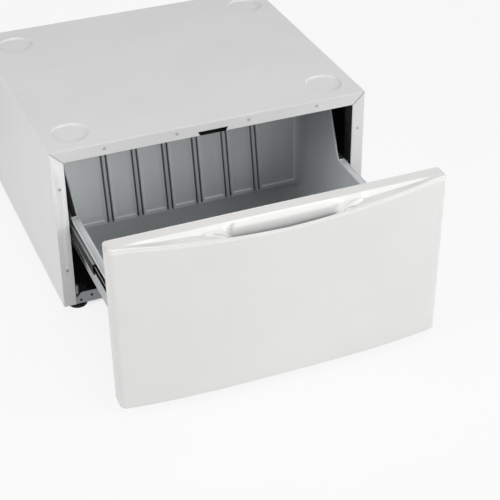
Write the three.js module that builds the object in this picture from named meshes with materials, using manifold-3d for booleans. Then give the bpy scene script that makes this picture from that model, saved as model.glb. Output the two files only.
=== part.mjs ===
// Laundry pedestal with a storage drawer, shown with the drawer pulled part of the way out.
// Millimetres, +Z up, +X to the right, the drawer opens towards -Y. Z = 0 is the floor.
// While the pieces are laid out, Y = 0 is the face of the cabinet's front flanges.

import * as THREE from 'three';
import { mergeVertices } from 'three/addons/utils/BufferGeometryUtils.js';
import Module from 'manifold-3d';

const wasm = await Module();
wasm.setup();

// ---------------------------------------------------------------- driving sizes

// Cabinet
const WIDTH = 686;
const HEIGHT = 381;
const BODY_DEPTH = 600;
const BODY_LIFT = 14;            // floor to the underside of the body
const SHEET = 1;                 // painted sheet steel
const GAUGE = 1.5;               // galvanised frame steel
const FRONT_FLANGE = 27;         // width of the flanges round the drawer opening
const FOLD = 15;                 // rear and bottom flanges of the side panels, side flanges of the deck
const REAR_HEM = 3;              // thickness of the rear flanges with their hem
const MITRE_GAP = 1;
const RAIL_RETURN = 20;          // shelf folded back from the lower edge of the top rail
const FIT = 0.3;                 // clearance between pieces that are fitted together

// Foot wells in the deck, where the machine on top stands
const WELL_RADIUS = 40;
const WELL_DEPTH = 4;
const WELL_FROM_SIDE = 63;
const WELL_FROM_FRONT = 70;
const WELL_FROM_REAR = 80;

// Frame
const POST_DEPTH = 34;
const POST_PROUD = 0.8;          // the posts stand this far into the opening past the flanges
const REAR_POST_DEPTH = 50;
const BRACE_HEIGHT = 27;
const BRACE_FLANGE = 30;
const BRACE_CHAMFER = 12;
const BRACE_HEM = 10;
const ANGLE_WIDTH = 25;          // legs of the deck rails and base rails
const CHANNEL_WIDTH = 50;
const CHANNEL_DROP = 20;
const STIFFENER_DROP = 16;
const BEAD_DEPTH = 4;
const BEAD_HEIGHT = 18;
const BEAD_INSET = 90;           // from each side of the rear panel to the beads

// Levelling feet
const FOOT_FROM_SIDE = 35.5;
const FOOT_FROM_END = 24;
const PAD_RADIUS = 18;
const PAD_HEIGHT = 10;
const PAD_EDGE = 2;              // chamfer round the underside
const PAD_SHOULDER = 3.5;        // chamfer round the top
const STUD_RADIUS = 5;
const STUD_LENGTH = 42;
const PLATE_LENGTH = 60;
const PLATE_THICKNESS = 3;
const WELD_NUT_RADIUS = 7;
const WELD_NUT_HEIGHT = 8;
const LOCK_NUT_RADIUS = 9.8;

// Slides: three nested channels and two ball cages on each side
const SLIDE_HEIGHT = 35;
const SLIDE_THICKNESS = 12.7;
const SLIDE_GAUGE = 1.2;
const SLIDE_SETBACK = 14;        // behind the front flanges
const SLIDE_SEAT = 16;           // length of slide that lies on the rear post
const SLIDE_PROUD = 2.2;         // the drawer's channel stands out of the cabinet's by this much
const BALL_RADIUS = 1.5;
const BALL_PLAY = 0.15;
const BALLS_IN_A_ROW = 4;
const CAGE_GAUGE = 0.8;
const CAGE_PLAY = 0.4;
const CAGE_LENGTH = 250;
const CAGE_START = 120;
const HOOK_LENGTH = 8;
const HOOK_HEIGHT = 12;
const HOOK_REACH = 3;

// Drawer
const DRAWER_OPEN = 331;         // cabinet face to the back of the drawer front, as shown
const SHUT_GAP = 2.2;            // the same when the drawer is shut
const FRONT_SIDE_REVEAL = 8.5;
const FRONT_TOP_REVEAL = 6;
const FRONT_BOTTOM_REVEAL = 2.5;
const END_THICKNESS = 36;
const BOW = 17.7;                // how far the middle of the front stands proud of its ends
const BOW_POWER = 3;             // the bow falls off with this power of the distance from the middle
const FRONT_CORNER = 6;
const FRONT_HEM = 12;

// Handle moulding along the top of the drawer front
const CAP_WALL = 3;
const TOP_STRIP = 26;            // flat strip behind the scoop
const SCOOP_HALF = 293;
const SCOOP_DIP = 27.7;          // how far the lip drops in the middle
const SCOOP_POWER = 1.4;         // the lip climbs with this power of the distance from the middle
const SCOOP_VALLEY = 5;          // hollow of the shallow end scoops
const VALLEY_POWER = 0.8;        // below 1, the hollow is full sooner
const POCKET_HALF = 128;         // half length of the finger pocket
const POCKET_DEPTH = 24;
const POCKET_END = 34;           // length of each rounded end of the pocket
const POCKET_HEEL = 0.65;        // share of the pocket's depth where its floor meets the lip
const LIP_THICKNESS = 5;
const LIP_LEAN = 0.05;           // share of the scoop's width over which the lip's inside leans
const CAP_SKIRT = 22;

// Bin
const RIM_BELOW_DECK = 163;
const BIN_FLOOR_RISE = 56;       // underside of the body to the floor inside the bin
const BIN_WALL = 3;
const RIM_WIDTH = 16.5;
const RIM_THICKNESS = 3;
const RIM_OVERHANG = 5.7;        // past the outer face of the side rail
const BIN_DRAFT = 9.7;           // how far each side leans in from rim to floor
const BIN_FRONT_GAP = 4;
const BIN_CORNER = 16;
const BIN_FLOOR_RADIUS = 10;
const BIN_REAR_CLEARANCE = 12;   // shut, rear rim to the rear panel's beads
const HIGH_WALL_BELOW_RAIL = 19; // top of the high rear part, below the top rail
const HIGH_RIM = 6;
const HIGH_WALL_LEAD = 179;      // rear wall's foot to the step where the sides begin to rise
const RISE_RUN = 0.44;           // run of the rising edge for each millimetre of height
const REAR_LEAN = 0.169;         // lean of the rear wall for each millimetre of height
const RIB_DEPTH = 3;             // depth of the grooves
const RIB_PITCH = 70.2;
const RIB_PAIRS = 6;
const GROOVE_WIDTH = 4;
const GROOVE_SPACING = 11;
const PANEL_MARGIN = 14;         // centre of a groove pair to the edge of a sunk panel
const PANEL_END_MARGIN = 12;     // side of the bin to the outer edge of the last panel
const PANEL_DEPTH = 2;
const PANEL_LEDGE = 4;           // height of the ledge under the sunk panels

// Catch, brackets and fasteners
const SLOT_WIDTH = 66;
const SLOT_HEIGHT = 8.5;         // over the rail's shelf
const SLOT_SLANT = 6;
const TONGUE_LENGTH = 14;
const TONGUE_CLEARANCE = 1.5;
const TONGUE_SIDE_CLEARANCE = 4;
const TONGUE_PLATE = 28;
const MAGNET_LENGTH = 7;
const BRACKET_LENGTH = 70;
const BRACKET_HEIGHT = 100;
const BRACKET_FLANGE = 21;
const STIFFENER_WIDTH = 30;
const STIFFENER_DEPTH = 28;
const STIFFENER_MARGIN = 14;     // floor of the drawer front to the stiffeners
const STIFFENER_TOP = 45;        // top of the drawer front to the stiffeners
const CLINCH_RADIUS = 2.9;       // buttons pressed forward out of the frame, into the flanges
const CLINCH_SINK = 0.4;         // face of a flange to the buttons in its holes
const RAIL_CLINCHES = [78, 231];
const FLANGE_CLINCHES = [103, 297];
const BRACE_HOLE_INSETS = [10, 34];
const BRACE_HOLE_RISES = [8, 15];
const BRACE_HOLE_RADIUS = 3;
const SCREW_RADIUS = 2;
const SCREW_HEAD = 4;
const SCREW_HEAD_HEIGHT = 2.5;
const SCREW_LENGTH = 9;
const REAR_SCREW_ROWS = [60, 190, 320];
const REAR_SCREW_INSET = 6.5;    // inside the rear flanges
const BRACKET_SCREW_RISES = [18, 82];
const BUMPER_RADIUS = 5;
const BUMPER_THICKNESS = 2;
const BUMPER_ROWS = [60, 250];

// ---------------------------------------------------------------- sizes that follow

const HALF = WIDTH / 2;
const BODY_BOTTOM = BODY_LIFT;
const DECK_UNDER = HEIGHT - SHEET;
const OPENING_HALF = HALF - FRONT_FLANGE;
const RAIL_BOTTOM = HEIGHT - FRONT_FLANGE;
const SHELF_TOP = RAIL_BOTTOM + SHEET;
const POST_FACE = OPENING_HALF - POST_PROUD;
const POST_BACK = HALF - 2 * SHEET - FIT;
const BETWEEN_POSTS = POST_FACE - FIT;
const REAR_PANEL_BACK = BODY_DEPTH - REAR_HEM;
const REAR_PANEL_FACE = REAR_PANEL_BACK - SHEET;
const REAR_POST_START = REAR_PANEL_FACE - REAR_POST_DEPTH;
const PLATE_BOTTOM = BODY_BOTTOM + GAUGE;
const PLATE_TOP = PLATE_BOTTOM + PLATE_THICKNESS;
const PANEL_BOTTOM = PLATE_BOTTOM - SHEET;
const BRACE_FACES = { front: SHEET + FIT, rear: REAR_PANEL_FACE - FIT };
const PLATE_SETBACK = 2 * GAUGE; // from a brace's face to its foot plates
const FOOT_X = HALF - FOOT_FROM_SIDE;
const FOOT_ROWS = [FOOT_FROM_END, BODY_DEPTH - FOOT_FROM_END];
const WELL_X = HALF - WELL_FROM_SIDE;
const WELL_ROWS = [WELL_FROM_FRONT, BODY_DEPTH - WELL_FROM_REAR];
const CHANNEL_TOP = DECK_UNDER - WELL_DEPTH;

const RIM_TOP = HEIGHT - RIM_BELOW_DECK;
const RAIL_FACE = POST_FACE - SLIDE_THICKNESS;
const RAIL_INNER = RAIL_FACE - GAUGE;
const RIM_OUTER = RAIL_FACE + RIM_OVERHANG;
const RIM_INNER = RIM_OUTER - RIM_WIDTH;
const SIDE_RAIL_TOP = RIM_TOP - RIM_THICKNESS;
const SLIDE_TOP = SIDE_RAIL_TOP - 2 * GAUGE;
const SLIDE_Z = SLIDE_TOP - SLIDE_HEIGHT / 2;
const SLIDE_LENGTH = REAR_POST_START + SLIDE_SEAT - SLIDE_SETBACK;
const SHUT_TRAVEL = DRAWER_OPEN - SHUT_GAP;

const FRONT_HALF = HALF - FRONT_SIDE_REVEAL;
const FRONT_TOP = HEIGHT - FRONT_TOP_REVEAL;
const FRONT_BOTTOM = BODY_BOTTOM + FRONT_BOTTOM_REVEAL;
const CAP_UNDER = FRONT_TOP - CAP_WALL;

const FLOOR_TOP = BODY_BOTTOM + BIN_FLOOR_RISE;
const BIN_DEPTH = RIM_TOP - FLOOR_TOP;
const HIGH_TOP = RAIL_BOTTOM - HIGH_WALL_BELOW_RAIL;
const REAR_WALL = BIN_WALL + RIB_DEPTH;
const REAR_RIM_BACK = REAR_PANEL_FACE - BEAD_DEPTH - BIN_REAR_CLEARANCE + SHUT_GAP;
const REAR_AT_FLOOR = REAR_RIM_BACK - HIGH_RIM - REAR_WALL - REAR_LEAN * (HIGH_TOP - FLOOR_TOP);
const STEP_Y = REAR_AT_FLOOR - HIGH_WALL_LEAD;

// ---------------------------------------------------------------- finishes

const finish = (color, roughness, metalness) =>
  new THREE.MeshStandardMaterial({ color, roughness, metalness });
const whitePaint = finish(0xe9e9e8, 0.35, 0);
const whiteMoulding = finish(0xf0f0ee, 0.25, 0);
const greyMoulding = finish(0xb4b9bb, 0.5, 0);
const galvanised = finish(0xa9adb0, 0.45, 0.8);
const slideSteel = finish(0xc4c7c9, 0.3, 0.9);
const zincPlate = finish(0x9a9da0, 0.4, 0.8);
const blackMoulding = finish(0x151617, 0.6, 0);
const blackRubber = finish(0x202122, 0.9, 0);

// ---------------------------------------------------------------- solids

// A solid from a closed three.js geometry.
function solid(geometry) {
  geometry.deleteAttribute('normal');
  geometry.deleteAttribute('uv');
  const merged = mergeVertices(geometry, 1e-4);
  const source = merged.index.array;
  const kept = [];
  for (let i = 0; i < source.length; i += 3) {
    const [a, b, c] = source.slice(i, i + 3);
    if (a !== b && b !== c && c !== a) kept.push(a, b, c);
  }
  const vertProperties = new Float32Array(merged.attributes.position.array);
  return new wasm.Manifold(
    new wasm.Mesh({ numProp: 3, vertProperties, triVerts: new Uint32Array(kept) }),
  );
}

const join = (...pieces) => pieces.flat().reduce((whole, next) => whole.add(next));
const cut = (body, ...tools) => tools.flat().reduce((whole, tool) => whole.subtract(tool), body);

// A block between two values on each axis, given in either order.
function block([x0, x1], [y0, y1], [z0, z1]) {
  const geometry = new THREE.BoxGeometry(Math.abs(x1 - x0), Math.abs(y1 - y0), Math.abs(z1 - z0));
  geometry.translate((x0 + x1) / 2, (y0 + y1) / 2, (z0 + z1) / 2);
  return solid(geometry);
}

// The directions that an outline's two axes and its length take, by the axis it is drawn out along.
const OUTLINE_AXES = {
  x: [new THREE.Vector3(0, 1, 0), new THREE.Vector3(0, 0, 1), new THREE.Vector3(1, 0, 0)],
  y: [new THREE.Vector3(1, 0, 0), new THREE.Vector3(0, 0, 1), new THREE.Vector3(0, -1, 0)],
  z: [new THREE.Vector3(1, 0, 0), new THREE.Vector3(0, 1, 0), new THREE.Vector3(0, 0, 1)],
};

// An outline drawn out along an axis. Its points are [y, z], [x, z] or [x, y].
function prism(points, axis, [from, to]) {
  const shape = new THREE.Shape(points.map(([a, b]) => new THREE.Vector2(a, b)));
  const geometry = new THREE.ExtrudeGeometry(shape, { depth: Math.abs(to - from), bevelEnabled: false });
  geometry.applyMatrix4(new THREE.Matrix4().makeBasis(...OUTLINE_AXES[axis]));
  const start = axis === 'y' ? Math.max(from, to) : Math.min(from, to);
  geometry.translate(axis === 'x' ? start : 0, axis === 'y' ? start : 0, axis === 'z' ? start : 0);
  return solid(geometry);
}

// A round bar along an axis. [a, b] is its centre on the two other axes, in X, Y, Z order.
function bar(axis, [a, b], radius, [from, to], sides = 12) {
  const geometry = new THREE.CylinderGeometry(radius, radius, Math.abs(to - from), sides);
  const middle = (from + to) / 2;
  if (axis === 'x') geometry.rotateZ(Math.PI / 2).translate(middle, a, b);
  if (axis === 'y') geometry.translate(a, middle, b);
  if (axis === 'z') geometry.rotateX(Math.PI / 2).translate(a, b, middle);
  return solid(geometry);
}

// The tool for a round hole: its flats, not its corners, lie at the radius.
const hole = (axis, centre, radius, span, sides = 12) =>
  bar(axis, centre, radius / Math.cos(Math.PI / sides), span, sides);

// A closed body from rings of equally many points, the lowest ring first, each seen anticlockwise.
function loft(rings) {
  const count = rings[0].length;
  const faces = [];
  for (let r = 0; r + 1 < rings.length; r += 1) {
    for (let i = 0; i < count; i += 1) {
      const a = r * count + i;
      const b = r * count + ((i + 1) % count);
      faces.push(a, b, b + count, a, b + count, a + count);
    }
  }
  const last = (rings.length - 1) * count;
  for (let i = 1; i + 1 < count; i += 1) {
    faces.push(0, i + 1, i);
    faces.push(last, last + i, last + i + 1);
  }
  const geometry = new THREE.BufferGeometry();
  geometry.setAttribute('position', new THREE.Float32BufferAttribute(rings.flat(2), 3));
  geometry.setIndex(faces);
  return solid(geometry);
}

// A closed body between an upper and a lower surface over one grid of columns and rows.
function slab(columns, rows, upper, lower) {
  const points = [];
  for (const surface of [upper, lower]) {
    for (let c = 0; c < columns; c += 1) {
      for (let r = 0; r < rows; r += 1) points.push(...surface(c, r));
    }
  }
  const at = (layer, c, r) => layer * columns * rows + c * rows + r;
  const faces = [];
  const quad = (a, b, c, d) => faces.push(a, b, c, a, c, d);
  for (let c = 0; c + 1 < columns; c += 1) {
    for (let r = 0; r + 1 < rows; r += 1) {
      quad(at(0, c, r), at(0, c + 1, r), at(0, c + 1, r + 1), at(0, c, r + 1));
      quad(at(1, c, r), at(1, c, r + 1), at(1, c + 1, r + 1), at(1, c + 1, r));
    }
    quad(at(0, c, rows - 1), at(0, c + 1, rows - 1), at(1, c + 1, rows - 1), at(1, c, rows - 1));
    quad(at(0, c + 1, 0), at(0, c, 0), at(1, c, 0), at(1, c + 1, 0));
  }
  for (let r = 0; r + 1 < rows; r += 1) {
    quad(at(0, 0, r), at(0, 0, r + 1), at(1, 0, r + 1), at(1, 0, r));
    const e = columns - 1;
    quad(at(0, e, r + 1), at(0, e, r), at(1, e, r), at(1, e, r + 1));
  }
  const geometry = new THREE.BufferGeometry();
  geometry.setAttribute('position', new THREE.Float32BufferAttribute(points, 3));
  geometry.setIndex(faces);
  return solid(geometry);
}

// Adds a named piece to a group.
function place(group, name, body, material) {
  const { vertProperties, triVerts } = body.getMesh();
  const geometry = new THREE.BufferGeometry();
  geometry.setAttribute('position', new THREE.BufferAttribute(vertProperties, 3));
  geometry.setIndex(new THREE.BufferAttribute(triVerts, 1));
  const mesh = new THREE.Mesh(geometry, material);
  mesh.name = name;
  group.add(mesh);
}

const SIDES = [{ side: 'left', s: -1 }, { side: 'right', s: 1 }];
const ENDS = [{ end: 'front', facing: 1 }, { end: 'rear', facing: -1 }];

const model = new THREE.Group();
const cabinet = new THREE.Group();
const drawer = new THREE.Group();
drawer.position.y = -DRAWER_OPEN;
model.add(cabinet, drawer);

// ---------------------------------------------------------------- cabinet panels

const flangeClinchX = HALF - FRONT_FLANGE / 2 - SHEET;
const railClinchZ = RAIL_BOTTOM + SHEET + SLOT_HEIGHT + 2 * CLINCH_RADIUS;
const clinchHole = (x, z) => hole('y', [x, z], CLINCH_RADIUS + FIT, [-SHEET, 2 * SHEET], 10);
const clinch = (x, z) => bar('y', [x, z], CLINCH_RADIUS, [CLINCH_SINK, SHEET + GAUGE / 2], 10);
const rearScrewX = HALF - FOLD - REAR_SCREW_INSET;
const rearScrewHole = (x, z) =>
  hole('y', [x, z], SCREW_RADIUS, [REAR_PANEL_FACE - 2 * GAUGE, BODY_DEPTH], 8);

// Side panels: one folded sheet each. The front flange is mitred where it meets the top rail.
for (const { side, s } of SIDES) {
  const web = block([s * HALF, s * (HALF - SHEET)], [0, BODY_DEPTH], [PANEL_BOTTOM, DECK_UNDER]);
  const flange = block([s * HALF, s * OPENING_HALF], [0, SHEET], [PANEL_BOTTOM, DECK_UNDER]);
  const rear = block([s * HALF, s * (HALF - FOLD)], [REAR_PANEL_BACK, BODY_DEPTH], [PANEL_BOTTOM, DECK_UNDER]);
  const foot = block([s * HALF, s * (HALF - FOLD)], [0, BODY_DEPTH], [PANEL_BOTTOM, PLATE_BOTTOM]);
  const drop = MITRE_GAP * Math.SQRT1_2;
  const mitre = prism(
    [
      [s * (OPENING_HALF - 1), RAIL_BOTTOM - 1 - drop],
      [s * (HALF + 1), HEIGHT + 1 - drop],
      [s * (OPENING_HALF - 1), HEIGHT + 1 - drop],
    ],
    'y', [-SHEET, SHEET],
  );
  const holes = FLANGE_CLINCHES.map((z) => clinchHole(s * flangeClinchX, z));
  place(cabinet, `side_panel_${side}`, cut(join(web, flange, rear, foot), mitre, holes), whitePaint);
}

// Deck: the top sheet with its foot wells, its mitred front rail and the folded shelf behind that.
{
  const rise = MITRE_GAP * Math.SQRT1_2;
  const sheet = block([-HALF, HALF], [0, BODY_DEPTH], [DECK_UNDER, HEIGHT]);
  const rail = prism(
    [
      [-OPENING_HALF + rise, RAIL_BOTTOM], [OPENING_HALF - rise, RAIL_BOTTOM],
      [HALF - rise, HEIGHT], [-HALF + rise, HEIGHT],
    ],
    'y', [0, SHEET],
  );
  const shelf = block([-BETWEEN_POSTS, BETWEEN_POSTS], [0, RAIL_RETURN], [RAIL_BOTTOM, SHELF_TOP]);
  const rear = block(
    [-HALF + FOLD + FIT, HALF - FOLD - FIT], [REAR_PANEL_BACK, BODY_DEPTH], [DECK_UNDER - FOLD, HEIGHT],
  );
  const flanges = SIDES.map(({ s }) => block(
    [s * (HALF - SHEET), s * (HALF - 2 * SHEET)],
    [SHEET + FIT, REAR_PANEL_FACE - FIT], [DECK_UNDER - FOLD, HEIGHT],
  ));
  const wells = [];
  const bowls = [];
  for (const { s } of SIDES) {
    for (const y of WELL_ROWS) {
      wells.push(bar('z', [s * WELL_X, y], WELL_RADIUS, [CHANNEL_TOP, HEIGHT], 24));
      bowls.push(bar('z', [s * WELL_X, y], WELL_RADIUS - SHEET, [CHANNEL_TOP + SHEET, HEIGHT + 1], 24));
    }
  }
  const slot = prism(
    [
      [-SLOT_WIDTH / 2 + SLOT_SLANT, RAIL_BOTTOM - 1], [SLOT_WIDTH / 2 - SLOT_SLANT, RAIL_BOTTOM - 1],
      [SLOT_WIDTH / 2, SHELF_TOP + SLOT_HEIGHT], [-SLOT_WIDTH / 2, SHELF_TOP + SLOT_HEIGHT],
    ],
    'y', [-SHEET, 2 * SHEET],
  );
  const holes = RAIL_CLINCHES.flatMap((x) => [clinchHole(x, railClinchZ), clinchHole(-x, railClinchZ)]);
  place(cabinet, 'deck', cut(join(sheet, rail, shelf, rear, flanges, wells), bowls, slot, holes), whitePaint);
}

// Rear panel: let in behind the rear flanges, stiffened by two pressed beads.
{
  const half = HALF - 2 * SHEET - FIT;
  const face = [REAR_PANEL_FACE, REAR_PANEL_BACK];
  const bottom = PLATE_BOTTOM + FIT;
  const sheet = block([-half, half], face, [bottom, DECK_UNDER - FIT]);
  const beads = [];
  const hollows = [];
  for (const share of [1, 2]) {
    const z = bottom + ((DECK_UNDER - bottom) * share) / 3;
    const x = half - BEAD_INSET;
    beads.push(block([-x, x], [REAR_PANEL_FACE - BEAD_DEPTH, REAR_PANEL_FACE],
      [z - BEAD_HEIGHT / 2, z + BEAD_HEIGHT / 2]));
    hollows.push(block([-x + SHEET, x - SHEET], [REAR_PANEL_FACE - BEAD_DEPTH + SHEET, BODY_DEPTH],
      [z - BEAD_HEIGHT / 2 + SHEET, z + BEAD_HEIGHT / 2 - SHEET]));
  }
  const holes = SIDES.flatMap(({ s }) => REAR_SCREW_ROWS.map((z) => rearScrewHole(s * rearScrewX, z)));
  place(cabinet, 'rear_panel', cut(join(sheet, beads), hollows, holes), galvanised);
}

// ---------------------------------------------------------------- frame

// Corner posts: channels that stand on the foot plates, carry the deck and hold the slides.
const slideHookRows = [
  SLIDE_SETBACK + HOOK_LENGTH, SLIDE_SETBACK + SLIDE_LENGTH - HOOK_LENGTH,
];
for (const { side, s } of SIDES) {
  for (const { end } of ENDS) {
    const span = end === 'front' ? [SHEET, POST_DEPTH] : [REAR_POST_START, REAR_PANEL_FACE];
    const height = [PLATE_TOP, DECK_UNDER];
    const web = block([s * POST_FACE, s * (POST_FACE + GAUGE)], span, height);
    const legs = [
      block([s * POST_FACE, s * POST_BACK], [span[0], span[0] + GAUGE], height),
      block([s * POST_FACE, s * POST_BACK], [span[1] - GAUGE, span[1]], height),
    ];
    const row = slideHookRows[end === 'front' ? 0 : 1];
    const hookSlot = block(
      [s * (POST_FACE - SHEET), s * (POST_FACE + 2 * GAUGE)],
      [row - HOOK_LENGTH / 2 - FIT, row + HOOK_LENGTH / 2 + FIT],
      [SLIDE_Z - HOOK_HEIGHT / 2 - FIT, SLIDE_Z + HOOK_HEIGHT / 2 + FIT],
    );
    const buttons = end === 'front' ? FLANGE_CLINCHES.map((z) => clinch(s * flangeClinchX, z)) : [];
    const holes = end === 'rear' ? REAR_SCREW_ROWS.map((z) => rearScrewHole(s * rearScrewX, z)) : [];
    place(cabinet, `${end}_post_${side}`, cut(join(web, legs, buttons), hookSlot, holes), galvanised);
  }
}

// Cross braces along the bottom of the front and the rear.
for (const { end, facing } of ENDS) {
  const face = BRACE_FACES[end];
  const top = BODY_BOTTOM + BRACE_HEIGHT;
  const outline = [
    [-BETWEEN_POSTS, BODY_BOTTOM], [BETWEEN_POSTS, BODY_BOTTOM],
    [BETWEEN_POSTS, top - BRACE_CHAMFER], [BETWEEN_POSTS - BRACE_CHAMFER, top],
    [-BETWEEN_POSTS + BRACE_CHAMFER, top], [-BETWEEN_POSTS, top - BRACE_CHAMFER],
  ];
  const web = prism(outline, 'y', [face, face + facing * GAUGE]);
  const flange = block(
    [-BETWEEN_POSTS, BETWEEN_POSTS], [face, face + facing * BRACE_FLANGE], [BODY_BOTTOM, BODY_BOTTOM + GAUGE],
  );
  const hemHalf = BETWEEN_POSTS - PLATE_LENGTH;
  const hem = block([-hemHalf, hemHalf], [face, face + facing * BRACE_HEM], [top - GAUGE, top]);
  const studs = SIDES.map(({ s }) => hole(
    'z', [s * FOOT_X, FOOT_ROWS[end === 'front' ? 0 : 1]], STUD_RADIUS + 2 * FIT,
    [BODY_BOTTOM - 1, PLATE_BOTTOM + 1],
  ));
  const holes = SIDES.flatMap(({ s }) => BRACE_HOLE_INSETS.map((inset, i) => hole(
    'y', [s * (BETWEEN_POSTS - inset), BODY_BOTTOM + BRACE_HOLE_RISES[i]], BRACE_HOLE_RADIUS,
    [face - facing, face + facing * (GAUGE + 1)], 10,
  )));
  place(cabinet, `${end}_brace`, cut(join(web, flange, hem), studs, holes), galvanised);
}

// Base rails and deck rails: angles that tie the front corners to the rear ones.
for (const { side, s } of SIDES) {
  const plateSpan = ENDS.map(({ end, facing }) => BRACE_FACES[end] + facing * (PLATE_SETBACK + PLATE_LENGTH));
  place(cabinet, `base_rail_${side}`, join(
    block([s * POST_BACK, s * (POST_BACK - GAUGE)], plateSpan, [PLATE_BOTTOM, PLATE_BOTTOM + ANGLE_WIDTH]),
    block([s * POST_BACK, s * (POST_BACK - ANGLE_WIDTH)], plateSpan, [PLATE_BOTTOM, PLATE_BOTTOM + GAUGE]),
  ), galvanised);

  const postSpan = [POST_DEPTH, REAR_POST_START];
  const seat = CHANNEL_TOP - CHANNEL_DROP;
  place(cabinet, `deck_rail_${side}`, join(
    block([s * POST_BACK, s * (POST_BACK - GAUGE)], postSpan, [seat - GAUGE, DECK_UNDER]),
    block([s * POST_BACK, s * (POST_BACK - ANGLE_WIDTH)], postSpan, [seat - GAUGE, seat]),
  ), galvanised);
}

// Deck channels: under the foot wells, their ends on the deck rails.
for (const { end } of ENDS) {
  const y = WELL_ROWS[end === 'front' ? 0 : 1];
  const half = POST_BACK - GAUGE - FIT;
  const span = [y - CHANNEL_WIDTH / 2, y + CHANNEL_WIDTH / 2];
  const bottom = CHANNEL_TOP - CHANNEL_DROP;
  place(cabinet, `deck_channel_${end}`, join(
    block([-half, half], span, [CHANNEL_TOP - GAUGE, CHANNEL_TOP]),
    block([-half, half], [span[0], span[0] + GAUGE], [bottom, CHANNEL_TOP]),
    block([-half, half], [span[1] - GAUGE, span[1]], [bottom, CHANNEL_TOP]),
  ), galvanised);
}

// Stiffener clinched to the back of the top rail.
place(cabinet, 'rail_stiffener', join(
  block([-BETWEEN_POSTS, BETWEEN_POSTS], [SHEET, SHEET + GAUGE], [DECK_UNDER - STIFFENER_DROP, DECK_UNDER]),
  block([-BETWEEN_POSTS, BETWEEN_POSTS], [SHEET, RAIL_RETURN], [DECK_UNDER - GAUGE, DECK_UNDER]),
  RAIL_CLINCHES.flatMap((x) => [clinch(x, railClinchZ), clinch(-x, railClinchZ)]),
), galvanised);

// ---------------------------------------------------------------- levelling feet

for (const { side, s } of SIDES) {
  for (const { end, facing } of ENDS) {
    const y = FOOT_ROWS[end === 'front' ? 0 : 1];
    const centre = [s * FOOT_X, y];
    const near = BRACE_FACES[end] + facing * PLATE_SETBACK;
    const plate = block(
      [s * POST_BACK, s * (POST_BACK - PLATE_LENGTH)], [near, near + facing * PLATE_LENGTH],
      [PLATE_BOTTOM, PLATE_TOP],
    );
    const weldNut = bar('z', centre, WELD_NUT_RADIUS, [PLATE_TOP - 1, PLATE_TOP + WELD_NUT_HEIGHT], 12);
    const thread = hole('z', centre, STUD_RADIUS + FIT / 2, [0, HEIGHT], 12);
    place(cabinet, `foot_plate_${end}_${side}`, cut(join(plate, weldNut), thread), galvanised);

    const pad = new THREE.LatheGeometry([
      new THREE.Vector2(0, 0),
      new THREE.Vector2(PAD_RADIUS - PAD_EDGE, 0),
      new THREE.Vector2(PAD_RADIUS, PAD_EDGE),
      new THREE.Vector2(PAD_RADIUS, PAD_HEIGHT - PAD_SHOULDER),
      new THREE.Vector2(PAD_RADIUS - PAD_SHOULDER, PAD_HEIGHT),
      new THREE.Vector2(STUD_RADIUS + FIT, PAD_HEIGHT),
      new THREE.Vector2(STUD_RADIUS + FIT, PAD_HEIGHT / 2),
      new THREE.Vector2(0, PAD_HEIGHT / 2),
    ], 20);
    pad.rotateX(Math.PI / 2).translate(...centre, 0);
    const stud = bar('z', centre, STUD_RADIUS, [PAD_HEIGHT / 2 - 1, PAD_HEIGHT / 2 + STUD_LENGTH], 12);
    place(cabinet, `foot_${end}_${side}`, join(solid(pad), stud), blackMoulding);

    const lockNut = bar('z', centre, LOCK_NUT_RADIUS, [PAD_HEIGHT + FIT, BODY_BOTTOM], 6);
    place(cabinet, `lock_nut_${end}_${side}`, cut(lockNut, thread), zincPlate);
  }
}

// ---------------------------------------------------------------- slides

// A channel of a slide: a web and two legs that point to one side. near and far are distances
// from the post's face, towards the drawer; rise is half the height over the legs.
function channel(s, near, far, webSide, gauge, rise, [from, to]) {
  const x = (distance) => s * (POST_FACE - distance);
  const web = webSide === 'near' ? [x(near), x(near + gauge)] : [x(far - gauge), x(far)];
  return join(
    block(web, [from, to], [SLIDE_Z - rise, SLIDE_Z + rise]),
    block([x(near), x(far)], [from, to], [SLIDE_Z + rise - gauge, SLIDE_Z + rise]),
    block([x(near), x(far)], [from, to], [SLIDE_Z - rise, SLIDE_Z - rise + gauge]),
  );
}

const ballGap = 2 * (BALL_RADIUS + BALL_PLAY);
const outerRise = SLIDE_HEIGHT / 2;
const middleRise = outerRise - SLIDE_GAUGE - ballGap;
const innerRise = middleRise - SLIDE_GAUGE - ballGap;
const outerFar = SLIDE_THICKNESS - SLIDE_PROUD;
const middleNear = SLIDE_GAUGE + CAGE_GAUGE + 2 * FIT + CAGE_PLAY;
const middleFar = SLIDE_THICKNESS - SLIDE_GAUGE;
const innerNear = middleNear + SLIDE_GAUGE + CAGE_GAUGE + 2 * FIT;

// A ball cage: a strip folded round the channel inside it, with a row of balls along each edge.
function cage(s, near, far, rise, from) {
  const strip = channel(s, near, far, 'near', CAGE_GAUGE, rise + CAGE_GAUGE / 2, [from, from + CAGE_LENGTH]);
  const x = s * (POST_FACE - far + BALL_RADIUS + FIT);
  const balls = [];
  for (let i = 0; i < BALLS_IN_A_ROW; i += 1) {
    const y = from + (CAGE_LENGTH * (i + 0.5)) / BALLS_IN_A_ROW;
    for (const z of [SLIDE_Z - rise, SLIDE_Z + rise]) {
      balls.push(solid(new THREE.SphereGeometry(BALL_RADIUS, 6, 4).translate(x, y, z)));
    }
  }
  return join(strip, balls);
}

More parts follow.
